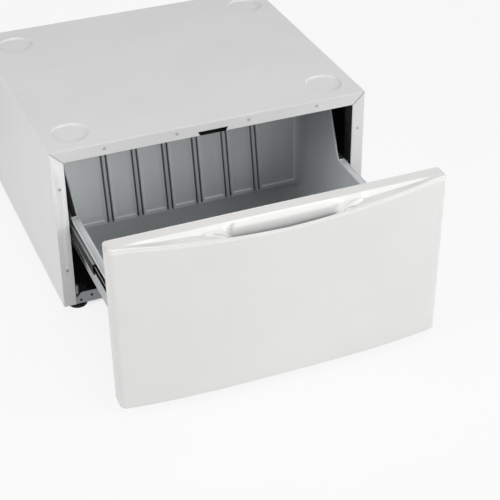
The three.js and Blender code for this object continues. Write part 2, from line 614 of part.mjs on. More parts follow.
for (const { side, s } of SIDES) {
  const outer = channel(
    s, 0, outerFar, 'near', SLIDE_GAUGE, outerRise, [SLIDE_SETBACK, SLIDE_SETBACK + SLIDE_LENGTH],
  );
  const hooks = slideHookRows.map((y) => block(
    [s * (POST_FACE - SLIDE_GAUGE / 2), s * (POST_FACE + HOOK_REACH)],
    [y - HOOK_LENGTH / 2, y + HOOK_LENGTH / 2], [SLIDE_Z - HOOK_HEIGHT / 2, SLIDE_Z + HOOK_HEIGHT / 2],
  ));
  place(cabinet, `slide_outer_${side}`, join(outer, hooks), slideSteel);

  const middleStart = SLIDE_SETBACK - SHUT_TRAVEL / 2;
  place(cabinet, `slide_middle_${side}`, channel(
    s, middleNear, middleFar, 'near', SLIDE_GAUGE, middleRise, [middleStart, middleStart + SLIDE_LENGTH],
  ), slideSteel);

  const innerStart = SLIDE_SETBACK + SHUT_GAP;
  place(drawer, `slide_inner_${side}`, channel(
    s, innerNear, SLIDE_THICKNESS, 'far', SLIDE_GAUGE, innerRise, [innerStart, innerStart + SLIDE_LENGTH],
  ), slideSteel);

  const cageStart = SLIDE_SETBACK + CAGE_START;
  place(cabinet, `ball_cage_outer_${side}`, cage(
    s, SLIDE_GAUGE + FIT, outerFar - FIT, middleRise + ballGap / 2, cageStart - SHUT_TRAVEL / 4,
  ), zincPlate);
  place(cabinet, `ball_cage_inner_${side}`, cage(
    s, middleNear + SLIDE_GAUGE + FIT, middleFar - FIT, innerRise + ballGap / 2,
    cageStart - (SHUT_TRAVEL * 3) / 4,
  ), zincPlate);
}

// ---------------------------------------------------------------- drawer front

// Y of the front face in plan: bowed between its ends, with a rounded vertical edge at each end.
function faceY(x, inset = 0) {
  const half = FRONT_HALF - inset;
  const along = Math.min(Math.abs(x) / half, 1);
  const bowed = -(END_THICKNESS - inset + BOW * (1 - along ** BOW_POWER));
  const past = Math.abs(x) - (half - FRONT_CORNER);
  if (past <= 0) return bowed;
  return bowed + FRONT_CORNER - Math.sqrt(Math.max(FRONT_CORNER ** 2 - past ** 2, 0));
}

// How far the lip drops below the top: nothing past the ends of the scoop, most in the middle.
const lipDip = (x) => SCOOP_DIP * Math.max(0, 1 - (Math.abs(x) / SCOOP_HALF) ** SCOOP_POWER);

// Stations across the front: close together round the corners and the pocket's ends. Each list
// holds shares: of the corner's radius, of the shallow end of the scoop, of the pocket's rounded
// end, and of the straight middle of the pocket.
function frontStations(inset = 0) {
  const half = FRONT_HALF - inset;
  const corner = [0, 0.15, 0.5, 1].map((share) => half - FRONT_CORNER * share);
  const scoop = [1, 0.92, 0.8, 0.65, 0.5, 0.35, 0.22, 0.12, 0.04].map(
    (share) => POCKET_HALF + (SCOOP_HALF - POCKET_HALF) * share,
  );
  const end = [0, 0.18, 0.38, 0.59, 0.79, 1].map((share) => POCKET_HALF - POCKET_END * share);
  const middle = [0.35, 0.72].map((share) => (POCKET_HALF - POCKET_END) * share);
  const right = [...corner, ...scoop, ...end, ...middle].sort((a, b) => a - b);
  return [...right.map((x) => -x).reverse(), 0, ...right];
}

// Skin: painted sheet, bowed, folded round the ends and the bottom and hemmed at the back.
{
  const across = frontStations();
  const plan = across.map((x) => [x, faceY(x)]);
  const within = frontStations(SHEET).map((x) => [x, faceY(x, SHEET)]);
  const open = [...plan, [FRONT_HALF, 0], [FRONT_HALF - SHEET, 0], ...[...within].reverse(),
    [-FRONT_HALF + SHEET, 0], [-FRONT_HALF, 0]];
  const wall = prism(open, 'z', [FRONT_BOTTOM, FRONT_TOP]);
  const floor = prism(
    [...plan, [FRONT_HALF, -SHEET - FIT], [-FRONT_HALF, -SHEET - FIT]], 'z', [FRONT_BOTTOM, FRONT_BOTTOM + SHEET],
  );
  const hems = SIDES.map(({ s }) => block(
    [s * FRONT_HALF, s * (FRONT_HALF - FRONT_HEM)], [-2 * SHEET - FIT, -SHEET - FIT], [FRONT_BOTTOM, CAP_UNDER],
  ));
  const edge = across.map((x) => [x, FRONT_TOP - lipDip(x) - CAP_WALL - FIT]);
  const above = prism(
    [[-HALF, CAP_UNDER - FIT], ...edge, [HALF, CAP_UNDER - FIT], [HALF, HEIGHT], [-HALF, HEIGHT]],
    'y', [-END_THICKNESS - BOW - 1, 1],
  );
  place(drawer, 'front_skin', cut(join(wall, floor, hems), above), whitePaint);
}

// Screws that hold the brackets to the drawer front, and their holes through all the sheets.
const bracketScrewX = RAIL_FACE + BRACKET_FLANGE / 3;
const bracketScrewZ = (rise) => SIDE_RAIL_TOP - BRACKET_HEIGHT + rise;
const bracketScrewHoles = SIDES.flatMap(({ s }) => BRACKET_SCREW_RISES.map((rise) => hole(
  'y', [s * bracketScrewX, bracketScrewZ(rise)], SCREW_RADIUS + FIT / 2, [-STIFFENER_DEPTH / 2, 2 * GAUGE], 8,
)));
for (const { side, s } of SIDES) {
  BRACKET_SCREW_RISES.forEach((rise, row) => {
    const centre = [s * bracketScrewX, bracketScrewZ(rise)];
    place(drawer, `bracket_screw_${row === 0 ? 'lower' : 'upper'}_${side}`, join(
      bar('y', centre, SCREW_RADIUS, [GAUGE - SCREW_LENGTH, GAUGE + 1], 8),
      bar('y', centre, SCREW_HEAD, [GAUGE, GAUGE + SCREW_HEAD_HEIGHT], 12),
    ), zincPlate);
  });
}

// Liner: flat sheet that closes the back of the drawer front.
place(drawer, 'front_liner', cut(block(
  [-FRONT_HALF + SHEET + FIT, FRONT_HALF - SHEET - FIT], [-SHEET, 0],
  [FRONT_BOTTOM + SHEET + FIT, CAP_UNDER - FIT],
), bracketScrewHoles), whitePaint);

// Handle moulding: a flat strip along the back, and in front of it a long scoop with a deep finger
// pocket in its middle. The rows run from the back to the front. From 0 to 1 they cross the scoop.
const CAP_ROWS = [-1, 0, 0.12, 0.25, 0.38, 0.5, 0.68, 0.88, 1, 2, 3];
const smooth = (share) => share * share * (3 - 2 * share);
const clamp = (value) => Math.max(0, Math.min(1, value));

// A point of the moulding's upper surface, or of its underside where grow is the wall's thickness.
function capPoint(x, row, grow) {
  const t = CAP_ROWS[row];
  const top = FRONT_TOP - grow;
  const dip = lipDip(x);
  const strip = TOP_STRIP - Math.min(grow, 2);
  const front = faceY(x, grow > 0 ? SHEET + FIT : 0);
  const lip = -front - (LIP_THICKNESS - grow) * Math.min(1, dip / LIP_THICKNESS);
  if (t < 0) return [x, 0, top];
  if (t > 1) return [x, t > 2 ? front : -lip, top - dip];
  const inside = Math.min(Math.abs(x), SCOOP_HALF);
  const along = clamp((inside - POCKET_HALF) / (SCOOP_HALF - POCKET_HALF));
  const valley = SCOOP_VALLEY * Math.sin(Math.PI * along) ** VALLEY_POWER * Math.sin(Math.PI * t);
  const bowl = POCKET_DEPTH * smooth(clamp((POCKET_HALF + grow - inside) / POCKET_END));
  const across = t < 0.5 ? Math.sin(Math.PI * t) : 1;
  const reach = Math.max(lip - strip, 1) * (t < 1 ? t : 1 - LIP_LEAN);
  return [x, -(strip + reach), top - dip * t - valley - bowl * (t < 1 ? across : POCKET_HEEL)];
}
{
  const across = frontStations();
  const body = slab(
    across.length, CAP_ROWS.length,
    (c, r) => capPoint(across[c], CAP_ROWS.length - 1 - r, 0),
    (c, r) => capPoint(across[c], CAP_ROWS.length - 1 - r, CAP_WALL),
  );
  const skirtHalf = FRONT_HALF - FRONT_HEM - FIT;
  const skirt = block(
    [-skirtHalf, skirtHalf], [-SHEET - FIT, -SHEET - FIT - CAP_WALL], [CAP_UNDER - CAP_SKIRT, CAP_UNDER + 1],
  );
  place(drawer, 'handle_cap', join(body, skirt), whiteMoulding);
}

// Stiffeners: upright channels inside the drawer front, behind the brackets.
for (const { side, s } of SIDES) {
  const outer = RAIL_FACE + SLIDE_THICKNESS;
  const height = [FRONT_BOTTOM + STIFFENER_MARGIN, FRONT_TOP - STIFFENER_TOP];
  const legs = [outer, outer - STIFFENER_WIDTH + GAUGE].map((x) => block(
    [s * x, s * (x - GAUGE)], [-SHEET - FIT, -SHEET - FIT - STIFFENER_DEPTH], height,
  ));
  const web = block(
    [s * outer, s * (outer - STIFFENER_WIDTH)], [-SHEET - FIT, -SHEET - FIT - GAUGE], height,
  );
  place(drawer, `front_stiffener_${side}`, cut(join(web, legs), bracketScrewHoles), galvanised);
}

// Brackets: angles that join the side rails to the drawer front.
for (const { side, s } of SIDES) {
  const height = [SIDE_RAIL_TOP - BRACKET_HEIGHT, SIDE_RAIL_TOP - GAUGE];
  place(drawer, `front_bracket_${side}`, cut(join(
    block([s * (RAIL_INNER - GAUGE), s * RAIL_INNER], [0, BRACKET_LENGTH], height),
    block([s * (RAIL_INNER - GAUGE), s * (RAIL_INNER + BRACKET_FLANGE)], [0, GAUGE], height),
  ), bracketScrewHoles), galvanised);
}

// Rubber bumpers on the liner, which meet the side flanges when the drawer is shut.
for (const { side, s } of SIDES) {
  BUMPER_ROWS.forEach((z, row) => place(
    drawer, `bumper_${row === 0 ? 'lower' : 'upper'}_${side}`,
    bar('y', [s * (HALF - FRONT_FLANGE / 2 - 3 * SHEET), z], BUMPER_RADIUS, [0, BUMPER_THICKNESS], 12),
    blackRubber,
  ));
}

// Catch: a steel tongue on the liner goes through the rail's slot to a magnet on the shelf behind.
{
  const half = SLOT_WIDTH / 2 - SLOT_SLANT - TONGUE_SIDE_CLEARANCE;
  const bottom = SHELF_TOP + TONGUE_CLEARANCE;
  const top = SHELF_TOP + SLOT_HEIGHT - TONGUE_CLEARANCE;
  const middle = (bottom + top - GAUGE) / 2;
  place(drawer, 'catch_tongue', join(
    block([-half, half], [0, GAUGE], [top - TONGUE_PLATE, middle + GAUGE]),
    block([-half, half], [0, TONGUE_LENGTH], [middle, middle + GAUGE]),
    block([-half, half], [TONGUE_LENGTH - GAUGE, TONGUE_LENGTH], [bottom, top]),
  ), galvanised);
  const magnetFace = TONGUE_LENGTH - SHUT_GAP + 2 * FIT;
  place(cabinet, 'catch_magnet', block(
    [-half, half], [magnetFace, magnetFace + MAGNET_LENGTH], [SHELF_TOP, top],
  ), blackMoulding);
}

// ---------------------------------------------------------------- bin

// Side rails: angles that the bin's rim rests on. The slides' inner channels lie on their outside.
for (const { side, s } of SIDES) {
  const length = [GAUGE + FIT, SLIDE_SETBACK + SHUT_GAP + SLIDE_LENGTH];
  place(drawer, `side_rail_${side}`, join(
    block([s * RAIL_INNER, s * RAIL_FACE], length, [SLIDE_TOP - SLIDE_HEIGHT, SIDE_RAIL_TOP]),
    block([s * RAIL_INNER, s * (RIM_OUTER - FIT)], length, [SIDE_RAIL_TOP - GAUGE, SIDE_RAIL_TOP]),
  ), galvanised);
}

const binHalf = (z) => RIM_INNER - (BIN_DRAFT * (RIM_TOP - z)) / BIN_DEPTH;
const binBack = (z) => REAR_AT_FLOOR + REAR_LEAN * (z - FLOOR_TOP);
const binFront = BIN_FRONT_GAP + BIN_WALL;

// One level of the bin: a rectangle with rounded corners, seen anticlockwise. grow is the wall
// outside the inner surface, inset the part that the floor's radius takes off.
function binRing(z, wallZ, inset, grow) {
  const half = binHalf(wallZ) + grow - inset;
  const front = binFront - grow + inset;
  const back = binBack(wallZ) + (grow > 0 ? REAR_WALL : 0) - inset;
  const radius = BIN_CORNER + grow;
  const corners = [
    [half - radius, front + radius, -Math.PI / 2], [half - radius, back - radius, 0],
    [-half + radius, back - radius, Math.PI / 2], [-half + radius, front + radius, Math.PI],
  ];
  return corners.flatMap(([x, y, turn]) => [0, 1, 2, 3].map((i) => {
    const angle = turn + (i / 3) * (Math.PI / 2);
    return [x + radius * Math.cos(angle), y + radius * Math.sin(angle), z];
  }));
}

// The bin's form, inside or outside, with the floor's radius worked out in three levels.
function binForm(grow, top) {
  const bottom = FLOOR_TOP - grow;
  const levels = [0, 30, 60, 90].map((degrees) => {
    const turn = (degrees * Math.PI) / 180;
    return { rise: BIN_FLOOR_RADIUS * (1 - Math.cos(turn)), inset: BIN_FLOOR_RADIUS * (1 - Math.sin(turn)) };
  });
  return loft([
    ...levels.map(({ rise, inset }) => binRing(bottom + rise, FLOOR_TOP + rise, inset, grow)),
    binRing(top, top, 0, grow),
  ]);
}

// A tool that follows the lean of the rear wall and cuts a groove or a sunk panel in its face. Each
// edge is a function of z, because the outer panels end along the sides of the bin.
function rearCut(left, right, bottom, depth) {
  return loft([bottom, HIGH_TOP + BIN_WALL].map((z) => [
    [left(z), binBack(z) - 1, z], [right(z), binBack(z) - 1, z],
    [right(z), binBack(z) + depth, z], [left(z), binBack(z) + depth, z],
  ]));
}

// Bin: a moulded tub that hangs by its rim, with a high rear part under the deck.
{
  const outside = binForm(BIN_WALL, HIGH_TOP);
  const inside = binForm(0, HIGH_TOP + 2 * BIN_WALL);
  const rim = block([-RIM_OUTER, RIM_OUTER], [BIN_FRONT_GAP, STEP_Y], [RIM_TOP - RIM_THICKNESS, RIM_TOP]);
  const riseTop = STEP_Y + RISE_RUN * (HIGH_TOP - RIM_TOP);
  const highHalf = binHalf(HIGH_TOP) + BIN_WALL + HIGH_RIM;
  const highRim = block([-highHalf, highHalf], [riseTop, REAR_RIM_BACK], [HIGH_TOP - BIN_WALL, HIGH_TOP]);
  const above = HIGH_TOP + 2 * BIN_WALL;
  const openFront = prism(
    [
      [-BIN_WALL, RIM_TOP], [STEP_Y, RIM_TOP],
      [STEP_Y + RISE_RUN * (above - RIM_TOP), above], [-BIN_WALL, above],
    ],
    'x', [-HALF, HALF],
  );
  const pairs = [];
  for (let i = 0; i < RIB_PAIRS; i += 1) pairs.push((i - (RIB_PAIRS - 1) / 2) * RIB_PITCH);
  const grooves = pairs.flatMap((x) => [-0.5, 0.5].map((share) => {
    const centre = x + share * GROOVE_SPACING;
    return rearCut(
      () => centre - GROOVE_WIDTH / 2, () => centre + GROOVE_WIDTH / 2,
      FLOOR_TOP + PANEL_LEDGE / 2, RIB_DEPTH,
    );
  }));
  const panelEnd = (z) => binHalf(z) - PANEL_END_MARGIN;
  const lefts = [(z) => -panelEnd(z), ...pairs.map((x) => () => x + PANEL_MARGIN)];
  const rights = [...pairs.map((x) => () => x - PANEL_MARGIN), panelEnd];
  const panels = lefts.map((left, i) => rearCut(left, rights[i], FLOOR_TOP + PANEL_LEDGE, PANEL_DEPTH));
  place(drawer, 'bin', cut(join(outside, rim, highRim), inside, openFront, grooves, panels), greyMoulding);
}

model.position.y = -(BODY_DEPTH - DRAWER_OPEN - END_THICKNESS - BOW) / 2;

export default model;
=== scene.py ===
import math

import bmesh
import bpy
import numpy as np
from mathutils import Matrix, Vector


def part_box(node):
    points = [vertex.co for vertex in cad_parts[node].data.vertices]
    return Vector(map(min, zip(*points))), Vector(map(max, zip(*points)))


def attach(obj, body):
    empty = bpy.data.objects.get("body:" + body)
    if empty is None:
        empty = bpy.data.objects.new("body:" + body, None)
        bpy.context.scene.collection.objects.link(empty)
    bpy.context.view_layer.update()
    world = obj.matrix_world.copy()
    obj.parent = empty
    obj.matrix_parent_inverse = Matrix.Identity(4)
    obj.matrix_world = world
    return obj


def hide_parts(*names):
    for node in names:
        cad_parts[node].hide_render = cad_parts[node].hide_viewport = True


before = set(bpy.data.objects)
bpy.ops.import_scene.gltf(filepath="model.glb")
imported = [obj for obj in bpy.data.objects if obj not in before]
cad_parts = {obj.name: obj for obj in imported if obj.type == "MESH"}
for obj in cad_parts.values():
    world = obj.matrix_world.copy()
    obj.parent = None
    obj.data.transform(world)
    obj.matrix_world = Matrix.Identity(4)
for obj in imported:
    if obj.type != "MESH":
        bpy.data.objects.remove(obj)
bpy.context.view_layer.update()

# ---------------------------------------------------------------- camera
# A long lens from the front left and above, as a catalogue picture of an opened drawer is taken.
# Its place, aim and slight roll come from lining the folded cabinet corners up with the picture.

view_turn = math.radians(-21.99)
view_rise = math.radians(33.34)
view_roll = math.radians(-0.6)
view_aim = np.array([0.00511, -0.28865, 0.17768])
view_distance = 2.74929
focal_length = 98.58                # millimetres, as is the sensor's width
sensor_width = 36.0

backward = np.array([
    math.sin(view_turn) * math.cos(view_rise),
    -math.cos(view_turn) * math.cos(view_rise),
    math.sin(view_rise),
])
level_right = np.array([math.cos(view_turn), math.sin(view_turn), 0.0])
level_up = np.cross(backward, level_right)
rolled_right = level_right * math.cos(view_roll) + level_up * math.sin(view_roll)
rolled_up = level_up * math.cos(view_roll) - level_right * math.sin(view_roll)
eye = view_aim + view_distance * backward

camera_data = bpy.data.cameras.new("camera")
camera_data.sensor_width = sensor_width
camera_data.lens = focal_length
camera_data.clip_end = 30.0
camera = bpy.data.objects.new("camera", camera_data)
bpy.context.scene.collection.objects.link(camera)
camera.matrix_world = Matrix([
    [rolled_right[i], rolled_up[i], backward[i], eye[i]] for i in range(3)
] + [[0, 0, 0, 1]])
bpy.context.scene.camera = camera
bpy.context.scene.view_settings.view_transform = "Standard"

# ---------------------------------------------------------------- studio
# A pale seamless floor, seven softboxes at a plain level, and a dim white room. The strongest stand
# far to the front and the right, so light reaches under the deck on the left of the bin.


class Graph:
    """The node tree of a material or of the world. Every node in it is added by the method node."""

    def __init__(self, tree):
        self.tree = tree

    def node(self, kind, settings, sockets):
        """Adds a node of any kind: its settings come first, then what its sockets hold or link to."""
        node = self.tree.nodes.new(kind)
        for key, value in settings.items():
            setattr(node, key, value)
        for key, value in sockets.items():
            self.link(value, node.inputs[key])
        return node

    def link(self, value, socket):
        """Links a socket or a Value to a socket, or sets a plain number or colour on it."""
        if isinstance(value, Value):
            value = value.socket
        if isinstance(value, bpy.types.NodeSocket):
            self.tree.links.new(value, socket)
        else:
            socket.default_value = value

    def seen(self):
        """1 where a ray is the camera's, straight or by way of gloss or glass, and 0 for lighting."""
        ray = self.node("ShaderNodeLightPath", {}, {})
        kinds = ("Is Camera Ray", "Is Glossy Ray", "Is Transmission Ray")
        straight, gloss, through = (Value(self, ray.outputs[kind]) for kind in kinds)
        return straight + gloss + through > 0.5


class Value:
    """A shader socket that takes part in arithmetic: every operation adds one Math node."""

    def __init__(self, graph, socket):
        self.graph = graph
        self.socket = socket

    def math(self, operation, *operands):
        node = self.graph.node("ShaderNodeMath", {"operation": operation}, dict(enumerate(operands)))
        return Value(self.graph, node.outputs[0])

    def __add__(self, other):
        return self.math("ADD", self, other)

    def __radd__(self, other):
        return self.math("ADD", other, self)

    def __sub__(self, other):
        return self.math("SUBTRACT", self, other)

    def __rsub__(self, other):
        return self.math("SUBTRACT", other, self)

    def __mul__(self, other):
        return self.math("MULTIPLY", self, other)

    def __rmul__(self, other):
        return self.math("MULTIPLY", other, self)

    def __gt__(self, other):
        return self.math("GREATER_THAN", self, other)

    def __lt__(self, other):
        return self.math("LESS_THAN", self, other)

    def __abs__(self):
        return self.math("ABSOLUTE", self)

    def between(self, low, high):
        """0 below low, 1 above high, and an S curve from one to the other."""
        node = self.graph.node("ShaderNodeMapRange", {"interpolation_type": "SMOOTHSTEP"}, {
            "Value": self, "From Min": low, "From Max": high,
        })
        return Value(self.graph, node.outputs["Result"])


class Finish(Graph):
    """A procedural material. Names in fixed are sockets of its shader that are the same all over."""

    def __init__(self, name, fixed):
        self.material = bpy.data.materials.new(name)
        self.material.use_nodes = True
        super().__init__(self.material.node_tree)
        self.shader = self.tree.nodes["Principled BSDF"]
        self.place = None
        for socket, value in fixed.items():
            self.link(value, self.shader.inputs[socket])

    def stretched(self, scale):
        """Object coordinates, drawn out along the axes on which scale is small."""
        if self.place is None:
            self.place = self.node("ShaderNodeTexCoord", {}, {}).outputs["Object"]
        mapping = self.node("ShaderNodeMapping", {}, {"Vector": self.place, "Scale": scale})
        return mapping.outputs["Vector"]

    def noise(self, per_metre, detail=3.0, scale=(1, 1, 1)):
        """Cloudy noise from 0 to 1, with that many clouds in a metre."""
        node = self.node("ShaderNodeTexNoise", {}, {
            "Vector": self.stretched(scale), "Scale": per_metre, "Detail": detail,
        })
        return Value(self, node.outputs[0])

    def cells(self, per_metre, scale=(1, 1, 1)):
        """A different grey from 0 to 1 on each crystal-like cell."""
        node = self.node("ShaderNodeTexVoronoi", {}, {
            "Vector": self.stretched(scale), "Scale": per_metre,
        })
        grey = self.node("ShaderNodeSeparateXYZ", {}, {0: node.outputs["Color"]})
        return Value(self, grey.outputs[0])

    def axis(self, name):
        """The distance along X, Y or Z in metres."""
        parts = self.node("ShaderNodeSeparateXYZ", {}, {0: self.stretched((1, 1, 1))})
        return Value(self, parts.outputs[name])

    def mark(self, name):
        """A number that the mesh carries as its own attribute."""
        node = self.node("ShaderNodeAttribute", {"attribute_name": name}, {})
        return Value(self, node.outputs["Fac"])

    def mixed(self, share, first, second):
        """The first colour where share is 0 and the second where it is 1."""
        first, second = ((*c, 1.0) if isinstance(c, tuple) else c for c in (first, second))
        node = self.node("ShaderNodeMix", {"data_type": "RGBA"}, {0: share, 6: first, 7: second})
        return node.outputs[2]

    def colour(self, value):
        self.link(value, self.shader.inputs["Base Color"])

    def roughness(self, value):
        self.link(value, self.shader.inputs["Roughness"])

    def metallic(self, value):
        self.link(value, self.shader.inputs["Metallic"])

    def relief(self, height, metres):
        """Bumps whose height of 1 stands that many metres proud."""
        node = self.node("ShaderNodeBump", {}, {"Strength": 1.0, "Height": height, "Distance": metres})
        self.link(node.outputs["Normal"], self.shader.inputs["Normal"])


def softbox(name, place, aim, width, height, power):
    """A rectangular lamp at place that faces aim."""
    lamp = bpy.data.lights.new(name, "AREA")
    lamp.shape = "RECTANGLE"
    lamp.size = width
    lamp.size_y = height
    lamp.energy = power
    holder = bpy.data.objects.new(name, lamp)
    bpy.context.scene.collection.objects.link(holder)
    holder.location = place
    holder.rotation_euler = (Vector(aim) - Vector(place)).to_track_quat("-Z", "Y").to_euler()


lamp_aim = (0.0, -0.2, 0.2)         # about the middle of the opened pedestal
for name, place, width, height, power in (
    ("softbox_front", (0.0, -4.37, 1.89), 2.8, 1.6, 48.5),
    ("softbox_right", (2.36, -3.57, 2.03), 1.8, 1.4, 41.0),
    ("softbox_far_right", (3.66, -2.31, 1.74), 1.8, 1.4, 43.0),
    ("softbox_left", (-3.85, -0.54, 1.24), 2.0, 1.4, 32.5),
    ("softbox_high_left", (-2.8, -0.9, 1.8), 2.0, 1.4, 16.0),
    ("softbox_overhead", (0.0, -0.2, 3.2), 2.6, 2.6, 39.0),
    ("softbox_behind", (0.8, 3.4, 1.5), 1.6, 1.2, 14.0),
):
    softbox(name, place, lamp_aim, width, height, power)

room = bpy.data.worlds.new("room")
bpy.context.scene.world = room
room.use_nodes = True
room_graph = Graph(room.node_tree)
room_light = room.node_tree.nodes["Background"]
room_light.inputs["Color"].default_value = (1.0, 1.0, 1.0, 1.0)
room_strength = 0.09                # how much it lights; where it is seen it is plain white
room_graph.link(
    room_strength + room_graph.seen() * (1.0 - room_strength), room_light.inputs["Strength"],
)

floor_finish = Finish("studio_floor", {"Roughness": 0.9, "Specular IOR Level": 0.1})
floor_x, floor_y = floor_finish.axis("X"), floor_finish.axis("Y")
# Painted shadow: under the cabinet the floor's colour turns near black and it doesn't glow, standing in for
# the shade that falls there.
cabinet_middle_y = 0.1925
dark_half_width = (0.29, 0.335)     # the floor is dark under the cabinet, and pales between these
dark_half_depth = (0.25, 0.295)
beside = abs(floor_x).between(*dark_half_width)
beyond_ends = abs(floor_y - cabinet_middle_y).between(*dark_half_depth)
painted_shadow_under_body = (1 - beside) * (1 - beyond_ends)
floor_tone = floor_finish.mixed(floor_finish.noise(3.0), (0.80, 0.80, 0.80), (0.82, 0.82, 0.82))
floor_finish.colour(floor_finish.mixed(painted_shadow_under_body, floor_tone, (0.05, 0.05, 0.05)))
near_glow = 0.86                    # share of white where the floor is seen near the object
glow_from, glow_to = 1.4, 3.2       # it grows to full white between these distances
from_middle = floor_x * floor_x + floor_y * floor_y
glow_share = near_glow + (1 - near_glow) * from_middle.between(glow_from ** 2, glow_to ** 2)
floor_glow = floor_finish.node("ShaderNodeEmission", {}, {"Color": (1.0, 1.0, 1.0, 1.0), "Strength": 1.0})
floor_mix = floor_finish.node("ShaderNodeMixShader", {}, {
    0: floor_finish.seen() * glow_share * (1 - painted_shadow_under_body),
    1: floor_finish.shader.outputs[0], 2: floor_glow.outputs[0],
})
floor_output = floor_finish.tree.nodes["Material Output"]
floor_finish.link(floor_mix.outputs[0], floor_output.inputs["Surface"])
floor_reach = 8.0
floor_corners = [(x * floor_reach, y * floor_reach, 0) for x, y in ((-1, -1), (1, -1), (1, 1), (-1, 1))]
floor_mesh = bpy.data.meshes.new("studio_floor")
floor_mesh.from_pydata(floor_corners, [], [(0, 1, 2, 3)])
floor_mesh.materials.append(floor_finish.material)
studio_floor = bpy.data.objects.new("studio_floor", floor_mesh)
bpy.context.scene.collection.objects.link(studio_floor)

# ---------------------------------------------------------------- painted cabinet
# Side panels and deck: 1 mm sheet steel, folded on a press brake and powder coated in white, glossy
# on the sides and textured and dull on the deck, with dark primer inside. Its near-black tone, also on
# the mitres' cut faces, is partly painted shade. The flanges and the front rail meet in open mitres.

panel_low, panel_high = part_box("side_panel_right")
half_width, back_y = panel_high[0], panel_high[1]
face_y, panel_bottom = panel_low[1], panel_low[2]   # face_y is the front of the cabinet's flanges
deck_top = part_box("deck")[1][2]
rail_height = 0.027
rail_bottom = deck_top - rail_height
under_wells = deck_top - 0.006      # just below the deck's foot wells
behind_flanges = face_y + 0.003     # just behind the flanges' sheet
bend_radius = 0.0018
mitre_radius = 0.0006
edge_radius = 0.00022


def powder_coat(finish, darker, paler):
    """Lays fine orange peel on a finish, and gives the coat's faintly cloudy tone between the two
    colours and its roughness."""
    finish.relief(finish.noise(420.0, 2.0) + finish.noise(1900.0, 2.0) * 0.25, 0.00005)
    tone = finish.mixed(finish.noise(7.0, 2.0).between(0.3, 0.7), darker, paler)
    return tone, 0.29 + finish.noise(60.0, 4.0) * 0.10


def coated(name, specular, dull_above):
    """White powder coat, near black on the faces marked inside: a dark undercoat, its tone partly painted
    shade of the cabinet's inside and of the mitres' gaps. Above the height dull_above the coat is
    textured and dull, so that a machine set down there doesn't slide."""
    finish = Finish(name, {"Specular IOR Level": specular, "Coat Roughness": 0.12})
    tone, rough = powder_coat(finish, (0.775, 0.778, 0.772), (0.795, 0.797, 0.790))
    # Painted shade: the near-black tone on the faces marked inside is partly the primer's colour and partly
    # the shade inside the cabinet and in the mitres' gaps.
    primer_and_shade = finish.mark("inside")
    dull = finish.axis("Z") > dull_above
    primer_shade_tone = finish.mixed(finish.noise(30.0, 4.0), (0.008, 0.0083, 0.0087), (0.015, 0.0155, 0.016))
    finish.colour(finish.mixed(primer_and_shade, tone, primer_shade_tone))
    finish.roughness(rough + primer_and_shade * 0.3 + dull * 0.36)
    finish.link(0.25 * (1 - primer_and_shade) * (1 - dull), finish.shader.inputs["Coat Weight"])
    return finish


above_all = deck_top + 1.0          # higher than the cabinet, so that no face is dull
coated_side = coated("white_coat_dark_inside", 0.5, above_all)
coated_deck = coated("white_deck_coat", 0.12, under_wells)


def near(value, target, reach=1e-4):
    """True where value is within reach of target."""
    return np.abs(value - target) < reach


def dressed(node, name, finish, body, radius=edge_radius, bends=None, mitres=None, inside=None):
    """A copy of a CAD node with its folds rounded to the sheet's bend radius and its other edges
    broken. bends and mitres(middle, along) pick the folds and the wider-broken mitred ends by the
    middle and the direction of each edge, and inside(middle, normal) the faces with that mark."""
    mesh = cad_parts[node].data.copy()
    mesh.name = name
    shape = bmesh.new()
    shape.from_mesh(mesh)
    bmesh.ops.remove_doubles(shape, verts=shape.verts, dist=1e-5)
    bmesh.ops.dissolve_limit(
        shape, angle_limit=math.radians(0.6), verts=shape.verts, edges=shape.edges,
    )

    def sharp(test=None):
        """The edges whose two faces turn by over 0.5 radians, or those of them that the test picks."""
        edges = [e for e in shape.edges if len(e.link_faces) == 2 and e.calc_face_angle(0.0) > 0.5]
        if not edges or test is None:
            return edges
        ends = np.array([[v.co[:] for v in e.verts] for e in edges])
        along = ends[:, 1] - ends[:, 0]
        along /= np.maximum(np.linalg.norm(along, axis=1, keepdims=True), 1e-9)
        chosen = test(ends.mean(axis=1), np.abs(along))
        return [e for e, keep in zip(edges, chosen) if keep]

    def rounded(edges, offset, segments, clamp=True):
        """Bevels these edges round, each to the offset's width on both its faces."""
        bmesh.ops.bevel(
            shape, geom=edges, offset=offset, segments=segments, profile=0.5, affect="EDGES",
            clamp_overlap=clamp,
        )

    if bends is not None:
        rounded(sharp(bends), bend_radius, 5, clamp=False)
    if mitres is not None:
        rounded(sharp(mitres), mitre_radius, 2)
    rounded(sharp(), radius, 2)
    for face in shape.faces:
        face.smooth = True
    shape.to_mesh(mesh)
    shape.free()
    mesh.set_sharp_from_angle(angle=math.radians(50))
    if inside is not None:
        sides = np.zeros(3 * len(mesh.polygons))
        middles = np.zeros(3 * len(mesh.polygons))
        mesh.polygons.foreach_get("normal", sides)
        mesh.polygons.foreach_get("center", middles)
        chosen = inside(middles.reshape(-1, 3), sides.reshape(-1, 3)).astype(np.float32)
        mesh.attributes.new("inside", "FLOAT", "FACE").data.foreach_set("value", chosen)
    mesh.materials.clear()
    mesh.materials.append(finish.material)
    piece = bpy.data.objects.new(name, mesh)
    bpy.context.scene.collection.objects.link(piece)
    normals = piece.modifiers.new("flat faces", "WEIGHTED_NORMAL")
    normals.keep_sharp = True
    normals.weight = 90
    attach(piece, body)
    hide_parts(node)


def side_folds(middle, along):
    """The two upright folds and the bottom fold of a side panel, on its outside."""
    outer = near(np.abs(middle[:, 0]), half_width)
    upright = (along[:, 2] > 0.9) & (near(middle[:, 1], face_y) | near(middle[:, 1], back_y))
    bottom = (along[:, 1] > 0.9) & near(middle[:, 2], panel_bottom)
    return outer & (upright | bottom)


